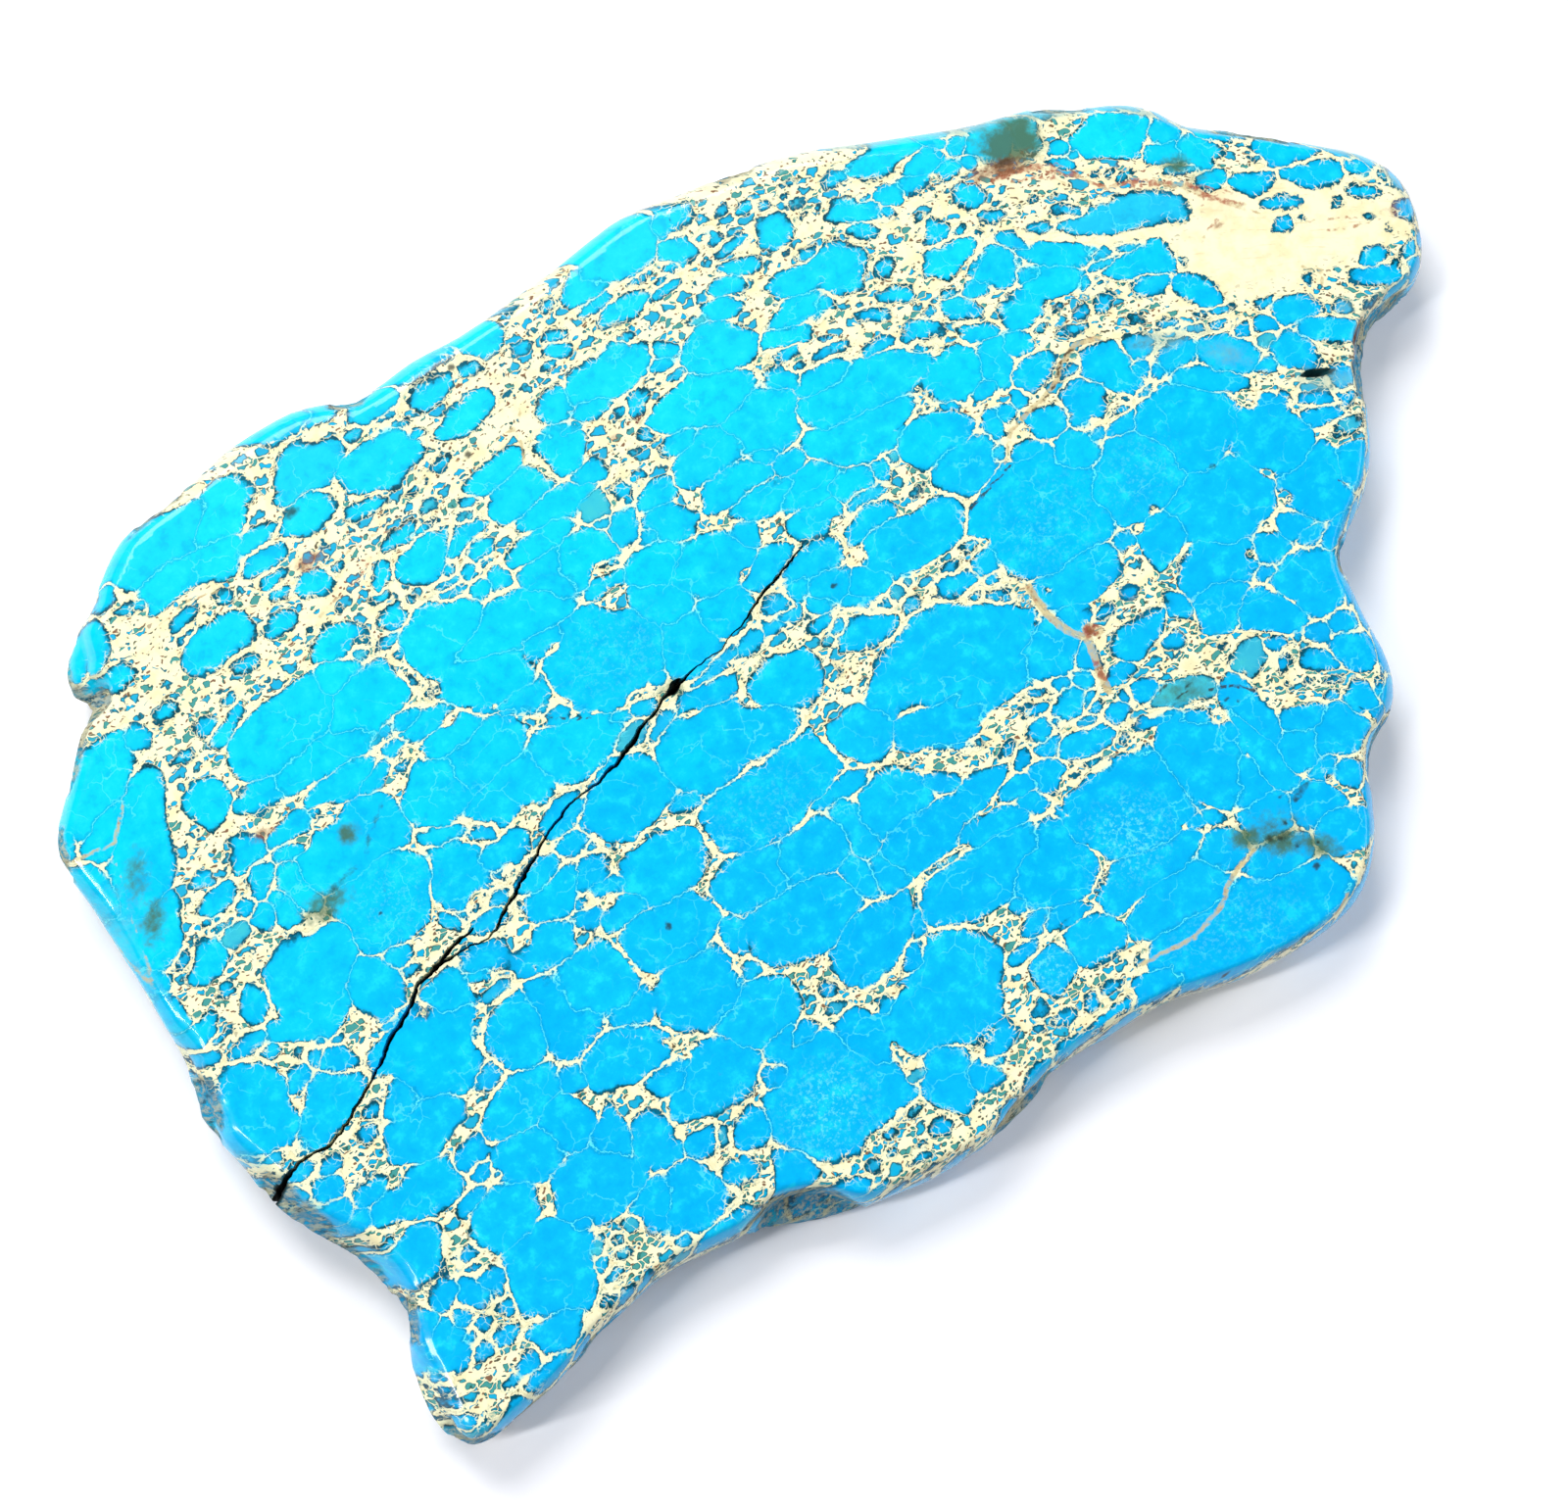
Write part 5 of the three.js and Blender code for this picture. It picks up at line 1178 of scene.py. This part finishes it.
def sum_of(operation, turned_round=False):
    """A sum on wires, as one Math node; turned round, the wire is the second number."""
    def made(self, other):
        pair = (other, self) if turned_round else (self, other)
        return self.shop.node("ShaderNodeMath", {"operation": operation}, *pair)
    return made


class Wire:
    """A value running through a material; arithmetic on it adds the nodes."""

    def __init__(self, shop, socket):
        self.shop = shop
        self.socket = socket

    __add__ = sum_of("ADD")
    __radd__ = sum_of("ADD", True)
    __sub__ = sum_of("SUBTRACT")
    __rsub__ = sum_of("SUBTRACT", True)
    __mul__ = sum_of("MULTIPLY")
    __rmul__ = sum_of("MULTIPLY", True)
    least = sum_of("MINIMUM")
    most = sum_of("MAXIMUM")

    def step(self, low, high):
        """0 below low, 1 above high, smooth between; the ends may be the other way round."""
        return self.shop.node("ShaderNodeMapRange", {"interpolation_type": "SMOOTHSTEP", "clamp": True},
                              self, low, high, 0.0, 1.0)


class Shop:
    """One material's node tree."""

    def __init__(self, name):
        self.material = bpy.data.materials.new(name)
        self.material.use_nodes = True
        self.tree = self.material.node_tree
        self.tree.nodes.clear()

    def node(self, kind, settings=None, *values, out=0, **named):
        """Adds a node: its settings first, then its sockets in order or by name."""
        made = self.tree.nodes.new(kind)
        for key, value in (settings or {}).items():
            setattr(made, key, value)
        for key, value in list(enumerate(values)) + list(named.items()):
            if value is None:
                continue
            socket = made.inputs[key.replace("_", " ") if isinstance(key, str) else key]
            if isinstance(value, Wire):
                self.tree.links.new(value.socket, socket)
            elif isinstance(value, tuple) and socket.type == "RGBA":
                socket.default_value = (*value, 1.0)
            else:
                socket.default_value = value
        return Wire(self, made.outputs[out])

    def parts(self, vector):
        """The three values of a vector or a colour."""
        first = self.node("ShaderNodeSeparateXYZ", None, vector)
        return [first] + [Wire(self, first.socket.node.outputs[k]) for k in (1, 2)]

    def joined(self, *values):
        return self.node("ShaderNodeCombineXYZ", None, *values)

    def blend(self, share, a, b):
        """A mix of two colours."""
        between = (None,) * 5
        return self.node("ShaderNodeMix", {"data_type": "RGBA"}, share, *between, a, b, out=2)

    def vector(self, operation, *values):
        return self.node("ShaderNodeVectorMath", {"operation": operation}, *values)

    def swayed(self, place, sway, reach):
        """A place pushed about by a noise's three values."""
        return self.vector("MULTIPLY_ADD", sway, (reach,) * 3, place)

    def field(self, name):
        """A field that the mesh carries."""
        settings = {"attribute_name": name, "attribute_type": "GEOMETRY"}
        return self.node("ShaderNodeAttribute", settings, out=1)

    def noise(self, place, scale, detail, rough, shift=0.0, out=0):
        if shift:
            place = self.vector("ADD", place, (shift, -shift, shift * 0.7))
        return self.node("ShaderNodeTexNoise", {"noise_dimensions": "3D"}, Vector=place, Scale=scale,
                         Detail=detail, Roughness=rough, out=out)

    def cells(self, place, scale, feature="F1"):
        return self.node("ShaderNodeTexVoronoi", {"feature": feature, "voronoi_dimensions": "3D"},
                         Vector=place, Scale=scale, Randomness=1.0)

    def values_of(self, cells):
        """Three values that are the same all through each cell."""
        return self.parts(Wire(self, cells.socket.node.outputs["Color"]))

    def finish(self, **sockets):
        """The finish itself, with what is given wired into it."""
        shader = self.node("ShaderNodeBsdfPrincipled", None, **sockets)
        end = self.tree.nodes.new("ShaderNodeOutputMaterial")
        self.tree.links.new(shader.socket, end.inputs["Surface"])
        return self.material


def colour(red, green, blue):
    """A colour given as it looks on a screen, 0 to 255, as linear values."""
    made = []
    for value in (red, green, blue):
        value /= 255
        made.append(value / 12.92 if value <= 0.04045 else ((value + 0.055) / 1.055) ** 2.4)
    return tuple(made)


SKY = colour(0, 176, 240)
SKY_GREENER = colour(0, 210, 240)
SKY_PALE = colour(30, 226, 246)
SKY_DEEP = colour(0, 154, 214)
NODULE_GREEN = colour(72, 180, 178)
FROST = colour(120, 230, 232)
# painted shade: the deeper blue inside a nodule's edge, the painted shadow beside the threads, and the
# dark painted shade line at the edge, which rust stains turn rusty
EDGE_PAINTED_SHADE = colour(0, 138, 186)
EDGE_SHADOW = colour(0, 84, 112)
EDGE_SHADE_LINE = colour(6, 66, 80)
EDGE_RUSTY = colour(126, 66, 44)
THREAD_BLUE = colour(84, 223, 242)
THREAD_CREAM = colour(232, 234, 196)
CREAM = colour(240, 237, 200)
CREAM_WARM = colour(230, 217, 166)
CREAM_EDGE = colour(196, 190, 132)
CREAM_RUSTY = colour(228, 180, 132)
CREAM_STREAK = colour(206, 176, 120)
POCKET_GREEN = colour(66, 150, 146)
POCKET_BLUE = colour(8, 170, 214)
POCKET_DARK = colour(26, 96, 104)
POCKET_LINE = colour(22, 58, 52)
POCKET_LINE_RUSTY = colour(140, 66, 44)
PIT_BROWN = colour(110, 62, 34)
PIT_OLIVE = colour(46, 50, 34)
PIT_RUSTY = colour(160, 74, 46)
FAWN = colour(196, 180, 132)
FAWN_REDDISH = colour(160, 84, 58)
SEAM_BROWN = colour(54, 36, 24)
BARE_DARK = colour(26, 56, 68)
BARE_PALE = colour(182, 180, 152)
BARE_BLUE = colour(60, 122, 150)
BARE_BROWN = colour(50, 46, 36)
BARE_RUSTY = colour(136, 88, 58)
# painted shade on the sides of the fissure and pits, deepening to a near black painted shadow at depth
HOLE_SIDE_SHADE = colour(20, 70, 76)
HOLE_SHADOW = colour(4, 8, 8)
PAPER = colour(246, 246, 250)
PAPER_LIGHT = colour(250, 250, 253)
PAPER_GLOW = colour(240, 241, 255)

# the patches laid over the stone, in order: how ragged, where they start and are full, strength
PATCHES = {
    # a pale wash, and along the upper right edge a painted reflection of the rim's glare
    "veil": (1.2, 0.25, 1.0, 0.6, colour(112, 166, 170)),
    "olive": (1.3, 0.15, 0.95, 0.92, colour(68, 104, 78)),
    "rust": (1.4, 0.35, 1.0, 0.8, colour(122, 74, 44)),
    "soot": (0.8, 0.35, 0.8, 0.85, colour(38, 44, 38)),
}
# the fields that the mesh carries, three to each of its attributes
FIELDS_HELD = {
    "tone": ("green", "shade", "light"),
    "veins": ("runs", "tan", "seam"),
    "stains": ("rust", "olive", "soot"),
    "veils": ("veil", "pink", "calm"),
    "faces": ("cloud", "crust", "hollow"),
}


def ragged(shop, field, place, shift):
    """A field of three distances with uneven, slightly jagged edges."""
    coarse = shop.noise(place, 0.42, 1.0, 0.5, shift, out=1)
    fine = shop.noise(place, 1.5, 3.0, 0.62, shift + 31.7, out=1)
    made = shop.swayed(shop.swayed(field, coarse, 1.3), fine, 1.2)
    return shop.vector("SUBTRACT", made, (1.25, 1.25, 1.25))


def two_nearest(values):
    """The smallest and the second smallest of several values."""
    first = values[0].least(values[1])
    second = values[0].most(values[1])
    for value in values[2:]:
        second = second.least(first.most(value))
        first = first.least(value)
    return first, second


def rock_fields(shop):
    """Places in the rock, in millimetres and with the veins' lean taken out, and all the fields."""
    x, y, z = shop.parts(shop.node("ShaderNodeTexCoord", out=3))
    down = THICKNESS - z * 1000
    east = x * 1000 + ORIGIN[0] + down * DIP[0]
    north = y * 1000 + ORIGIN[1] + down * DIP[1]
    place = shop.joined(east, north, down * 0.7)
    rock = SimpleNamespace(place=place, down=down, east=east, north=north)
    wires = []
    for k, name in enumerate(("nodules_a", "nodules_b", "nodules_c")):
        wires += shop.parts(ragged(shop, shop.field(name), place, 17.0 * (k + 1)))
    rock.first, rock.second = two_nearest(wires)
    for name, held in FIELDS_HELD.items():
        for each, wire in zip(held, shop.parts(shop.field(name))):
            setattr(rock, each, wire)
    rock.jitter = shop.noise(place, 1.3, 3.0, 0.6, 5.0) - 0.5
    rock.slow = shop.noise(place, 0.16, 2.0, 0.5, 9.0)
    rock.broken = shop.noise(place, 0.9, 4.0, 0.65, 19.0)
    rock.mottled = shop.noise(place, 0.55, 4.0, 0.66, 41.0)
    rock.outside = rock.first.most(rock.runs + rock.jitter * 1.2)
    rock.inside = 0 - rock.outside
    rock.matrix = rock.outside.step(0.0, 0.08)
    rock.along = north + east * east * (east * 0.0000267 + 0.002)
    banded = shop.joined(east * 0.8, rock.along * 1.25, down * 0.6)
    rock.banded = shop.swayed(banded, shop.noise(place, 1.1, 1.0, 0.5, 3.0, out=1), 1.3)
    return rock


def blue_body(shop, rock):
    """Sky blue, mottled, deeper in some nodules and greener in the small ones."""
    # lighter and greener towards the top and a little to the left, deeper towards the bottom: partly
    # the stone's own tone and partly painted light
    tone_and_top_light = rock.north * 0.013 - rock.east * 0.001 + 0.35 + (rock.slow - 0.5) * 0.9
    blue = shop.blend(tone_and_top_light.step(0.0, 1.0), SKY, SKY_GREENER)
    blue = shop.blend(rock.mottled.step(0.5, 0.7) * 0.5 + rock.light * 0.12, blue, SKY_PALE)
    blue = shop.blend(rock.mottled.step(0.5, 0.32) * 0.35 + rock.shade * 0.5, blue, SKY_DEEP)
    greener = rock.green.step(0.1, 1.1) * (0.45 + rock.mottled * 0.5)
    blue = shop.blend(greener, blue, NODULE_GREEN)
    speckle = shop.noise(rock.place, 2.4, 3.0, 0.7, 77.0).step(0.5, 0.66) * rock.cloud
    return shop.blend(speckle * 0.6, blue, FROST)


def whiskers(shop, rock):
    """Fine pale lines inside the nodules, thickest near their edges."""
    bent = shop.swayed(rock.place, shop.noise(rock.place, 0.5, 3.0, 0.6, 23.0, out=1), 2.6)
    inner = shop.cells(bent, 0.24, "DISTANCE_TO_EDGE").step(0.02, 0.004)
    inner = inner * shop.noise(rock.place, 0.22, 2.0, 0.5, 91.0).step(0.46, 0.62)
    whisker = shop.cells(bent, 0.8, "DISTANCE_TO_EDGE").step(0.05, 0.015)
    whisker = whisker * rock.inside.step(1.7, 0.3)
    whisker = whisker * shop.noise(rock.place, 0.35, 1.0, 0.5, 55.0).step(0.4, 0.5)
    return (inner * 0.55).most(whisker * 0.85) * (1 - rock.matrix)


def threaded_and_edge_shade(shop, rock, blue):
    """Painted shade inside a nodule's edge and beside the threads, a dark painted shade line at the
    edge that rust stains turn rusty, and the pale threads between and within nodules.
    """
    inside = rock.inside
    spike = inside.step(1.4, 0.0)
    webbed = inside.step(1.15, 0.3)
    width = 0.012 + 0.02 * webbed + 0.24 * spike * spike * spike + rock.jitter * (0.1 + 0.3 * spike)
    between = (rock.second - rock.first) * 0.5 - width
    fade = shop.noise(rock.place, 0.3, 2.0, 0.5, 63.0).step(0.3, 0.5)
    # painted shadow along the threads
    shadow = between.step(0.34, 0.05) * (0.28 + 0.35 * spike + 0.35 * webbed) * fade.most(webbed * 0.8)
    # the colour of the painted shade line, rusty where rust stains it
    dark = shop.blend(rock.rust.step(0.15, 0.7), EDGE_SHADE_LINE, EDGE_RUSTY)
    pale = shop.blend(webbed, THREAD_BLUE, THREAD_CREAM)
    hair = between.step(0.05, 0.0) * (0.35 + 0.65 * fade.most(webbed)) * (1 - rock.matrix)
    # painted shade: the blue deepens just inside a nodule's edge
    blue = shop.blend(inside.step(1.2, 0.1) * (0.5 + rock.shade * 0.4), blue, EDGE_PAINTED_SHADE)
    blue = shop.blend(shadow, blue, EDGE_SHADOW)
    # the dark painted shade line just inside the edge
    blue = shop.blend(inside.step(0.52, 0.14) * (0.85 + (rock.slow - 0.5) * 1.2), blue, dark)
    blue = shop.blend(whiskers(shop, rock), blue, pale)
    return shop.blend(hair, blue, pale)


def pockets(shop, rock, scale, share, wall):
    """Rounded cells in the cream: how deep a point lies in one, and two values of its own."""
    near = shop.cells(rock.banded, scale)
    keep, hue, size = shop.values_of(near)
    edge = shop.cells(rock.banded, scale, "DISTANCE_TO_EDGE")
    held = ((size * 0.34 + 0.33 - near - rock.jitter * 0.35) * 0.7).least(edge - wall)
    return held - (keep - share).step(0.0, 0.04) * 9.0, hue, size


def cream_body(shop, rock):
    """Cream matrix full of small rounded green and blue cells and brown pits."""
    crowd = shop.noise(rock.place, 0.2, 2.0, 0.5, 27.0).step(0.6, 0.36) * 0.45 + 0.7 - rock.calm * 1.7
    crowd = crowd - rock.north * 0.009
    large = pockets(shop, rock, 0.58, crowd.least(1.0) * (0.46 + rock.north * 0.004), 0.04)[0]
    small, hue, size = pockets(shop, rock, 1.18, crowd, 0.06)
    rounded = large.most(small - large.step(-0.35, -0.15) * 9.0)
    blueness = large.step(-0.1, 0.0)
    deep = rock.outside.step(0.03, 0.2)
    cell = rounded.step(0.0, 0.03) * deep
    rim = cell * rounded.step(0.12, 0.03)
    spot = shop.cells(rock.banded, 1.8)
    pick, shade, _ = shop.values_of(spot)
    pit = (spot + rock.jitter * 0.25).step(0.36, 0.22) * pick.step(0.32, 0.4) * deep
    rock.pit = pit * (1 - rock.calm.step(0.2, 0.8) * 0.93) * (1 - cell)

    tint = shop.noise(rock.place, 0.5, 3.0, 0.6, 12.0)
    rust = rock.rust.most(rock.pink * 0.8).step(0.15, 0.8)
    streak = shop.noise(shop.joined(rock.east * 0.3, rock.along * 1.9, rock.down), 1.0, 4.0, 0.65, 33.0)
    bluer = hue.step(0.45, 0.7).most(blueness * 0.85)
    inner = shop.blend(bluer, POCKET_GREEN, POCKET_BLUE)
    inner = shop.blend(size.step(0.45, 0.1) * (1 - blueness) * 0.6, inner, POCKET_DARK)
    line = shop.blend(rust, POCKET_LINE, POCKET_LINE_RUSTY)
    hole = shop.blend(shade.step(0.4, 0.8), PIT_BROWN, PIT_OLIVE)
    hole = shop.blend(rust, hole, PIT_RUSTY)
    cream = CREAM
    for share, laid in ((tint.step(0.4, 0.7) * 0.7, CREAM_WARM),
                        (rock.outside.step(0.32, 0.04) * 0.3, CREAM_EDGE),
                        (rust * 0.3, CREAM_RUSTY),
                        (streak.step(0.58, 0.7) * rock.calm * 0.45, CREAM_STREAK),
                        (cell, inner), (rim * 0.85, line), (rock.pit * 0.92, hole)):
        cream = shop.blend(share, cream, laid)
    return cream


def stained_and_rim_glare(shop, rock, stone):
    """Fawn and brown veins, dark seams, and the smoky, green and rusty patches, with a pale wash that
    along the upper right edge is a painted reflection of the rim's glare.
    """
    tan_line = (rock.tan + rock.jitter * 0.5).step(-0.06, 0.1)
    tan_line = tan_line * (0.55 + rock.broken.step(0.35, 0.55) * 0.45)
    reddish = (rock.broken + rock.rust * 0.4 + rock.pink * 0.35).step(0.54, 0.74)
    fawn = shop.blend(reddish, FAWN, FAWN_REDDISH)
    stone = shop.blend(tan_line * 0.85, stone, fawn)
    seam_line = (rock.seam + rock.jitter * 0.6).step(-0.08, 0.06)
    stone = shop.blend(seam_line * 0.85, stone, SEAM_BROWN)
    uneven = rock.broken - 0.5
    for patch, (raggedness, low, high, strength, tint) in PATCHES.items():
        spread = getattr(rock, patch) + uneven * raggedness
        stone = shop.blend(spread.step(low, high) * strength, stone, tint)
    return stone


def weathered_and_hole_shade(shop, rock, stone):
    """Natural broken stone on the wall, and painted shade inside the fissure and holes that deepens to
    a painted shadow low down.
    """
    rock.grain = shop.noise(rock.place, 1.5, 4.0, 0.72, 71.0)
    wide = shop.noise(rock.place, 0.5, 3.0, 0.6, 83.0)
    bare = shop.blend(rock.grain.step(0.4, 0.58), BARE_DARK, BARE_PALE)
    bare = shop.blend(wide.step(0.48, 0.62) * 0.7, bare, BARE_BLUE)
    bare = shop.blend(rock.broken.step(0.52, 0.64), bare, BARE_BROWN)
    bare = shop.blend(rock.rust * 0.7, bare, BARE_RUSTY)
    cover = rock.crust * (0.35 + 0.65 * rock.grain.step(0.34, 0.56))
    stone = shop.blend(cover * 0.8, stone, bare)
    # painted shade inside the fissure and pits, darker the deeper it lies
    depth = shop.blend(rock.hollow.step(0.4, 0.95), HOLE_SIDE_SHADE, HOLE_SHADOW)
    return shop.blend(rock.hollow.step(0.05, 0.6) * 0.97, stone, depth)


def turquoise():
    """Polished turquoise with its cream matrix, and rough natural stone on the wall."""
    shop = Shop("polished_turquoise")
    rock = rock_fields(shop)
    blue = threaded_and_edge_shade(shop, rock, blue_body(shop, rock))
    stone = shop.blend(rock.matrix, blue, cream_body(shop, rock))
    stone = weathered_and_hole_shade(shop, rock, stained_and_rim_glare(shop, rock, stone))
    matt = rock.crust.step(0.2, 0.8).most(rock.hollow.step(0.1, 0.5))
    roughness = 0.2 + 0.14 * rock.matrix + 0.12 * rock.pit + 0.5 * matt + (rock.mottled - 0.5) * 0.1
    lift = rock.grain * rock.crust * 3.0
    bump = shop.node("ShaderNodeBump", None, 0.8, 0.00016, Height=lift)
    return shop.finish(Base_Color=stone, Roughness=roughness, Coat_Weight=(1 - matt) * 0.35,
                       Coat_Roughness=0.05, Normal=bump, IOR=1.5, Specular_IOR_Level=0.08)


def paper_floor():
    """A plain near-white surface with the faintest tooth."""
    shop = Shop("plain_floor")
    tooth = shop.noise(shop.node("ShaderNodeTexCoord", out=3), 900.0, 2.0, 0.5)
    tone = shop.blend(tooth, PAPER, PAPER_LIGHT)
    bump = shop.node("ShaderNodeBump", None, 0.05, 0.0001, Height=tooth)
    return shop.finish(Base_Color=tone, Roughness=0.9, Normal=bump,
                       Emission_Color=PAPER_GLOW, Emission_Strength=0.08)


# ---------------------------------------------------------------- floor, light and camera

# name: how far right, up and high it stands, what it aims at, its width and height, its power
LAMPS = {
    "key": ((-0.36, 0.73, 1.1), (0, 0, 0), 0.65, 0.65, 14.3, (1.0, 0.99, 0.97)),
    "corner": ((-0.2, 0.2, 0.2), (-0.04, 0.03, 0), 0.25, 0.25, 0.1, (1.0, 1.0, 1.0)),
    "side": ((-0.73, -0.28, 0.84), (0, 0, 0), 0.07, 0.84, 6.8, (1.0, 1.0, 1.0)),
    "rim": ((0.7, -0.25, 0.26), (0, 0, 0), 0.5, 0.06, 0.4, (1.0, 1.0, 1.0)),
    "fill": ((0.9, 0.36, 0.8), (0, 0, 0), 0.7, 0.7, 6.4, (0.93, 0.95, 1.0)),
}
VIEW_TURN = math.radians(-35)       # how far the view is turned about the vertical
FLOOR_HALF = 4.0
CAMERA_AT = (-55.263, -71.522, 379.525)
CAMERA_AIM = (-10.211, -7.182, 10.0)


def add_floor():
    mesh = bpy.data.meshes.new("floor")
    corners = [(x * FLOOR_HALF, y * FLOOR_HALF, 0) for x, y in ((-1, -1), (1, -1), (1, 1), (-1, 1))]
    mesh.from_pydata(corners, [], [(0, 1, 2, 3)])
    mesh.materials.append(paper_floor())
    placed("floor", mesh)


def add_light():
    c, s = math.cos(VIEW_TURN), math.sin(VIEW_TURN)
    for name, ((right, up, high), aim, wide, tall, power, tint) in LAMPS.items():
        data = bpy.data.lights.new(name, "AREA")
        data.shape = "RECTANGLE"
        data.size = wide
        data.size_y = tall
        data.energy = power
        data.color = tint
        lamp = placed(name, data)
        lamp.location = (right * c - up * s, right * s + up * c, high)
        lamp.rotation_euler = (Vector(aim) - lamp.location).to_track_quat("-Z", "Y").to_euler()
    world = bpy.data.worlds.new("room")
    world.use_nodes = True
    ground = world.node_tree.nodes["Background"]
    ground.inputs["Color"].default_value = (0.9, 0.93, 1.0, 1.0)
    ground.inputs["Strength"].default_value = 0.12
    bpy.context.scene.world = world
    bpy.context.scene.view_settings.view_transform = "Standard"


def add_camera():
    data = bpy.data.cameras.new("camera")
    data.lens = 85
    data.sensor_width = 36
    data.clip_start = 0.02
    camera = placed("camera", data)
    camera.location = Vector(CAMERA_AT) * MM
    back = (Vector(CAMERA_AT) * MM - Vector(CAMERA_AIM) * MM).normalized()
    right = Vector((0, 0, 1)).cross(back).normalized()
    camera.rotation_euler = Matrix((right, back.cross(right), back)).transposed().to_euler()
    bpy.context.scene.camera = camera


# ---------------------------------------------------------------- putting it together


def build_slab():
    """The dressed slab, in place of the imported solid."""
    points, triangles = node_mesh(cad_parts["turquoise_slab"])
    skin_points, faces, base = skin_mesh(points, triangles)
    skin = make_mesh("turquoise_stone", skin_points, faces)
    cutters = [fissure_cutter("long_fissure", FISSURE, 3)]
    cutters.append(fissure_cutter("fissure_step", FISSURE_STEP, 9))
    cutters += [pit_cutter("pit_%d" % k, *pit, 5.0 + k) for k, pit in enumerate(PITS)]
    slab = carved(skin, cutters)
    mesh = slab.data
    add_pattern(mesh, skin_points, base)
    lay_out(mesh, base)
    mesh.materials.clear()
    mesh.materials.append(turquoise())
    mesh.shade_smooth()
    mesh.set_sharp_from_angle(angle=math.radians(50))
    return slab


add_camera()
add_floor()
add_light()
stone = build_slab()
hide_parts("turquoise_slab")
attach(stone, "root")
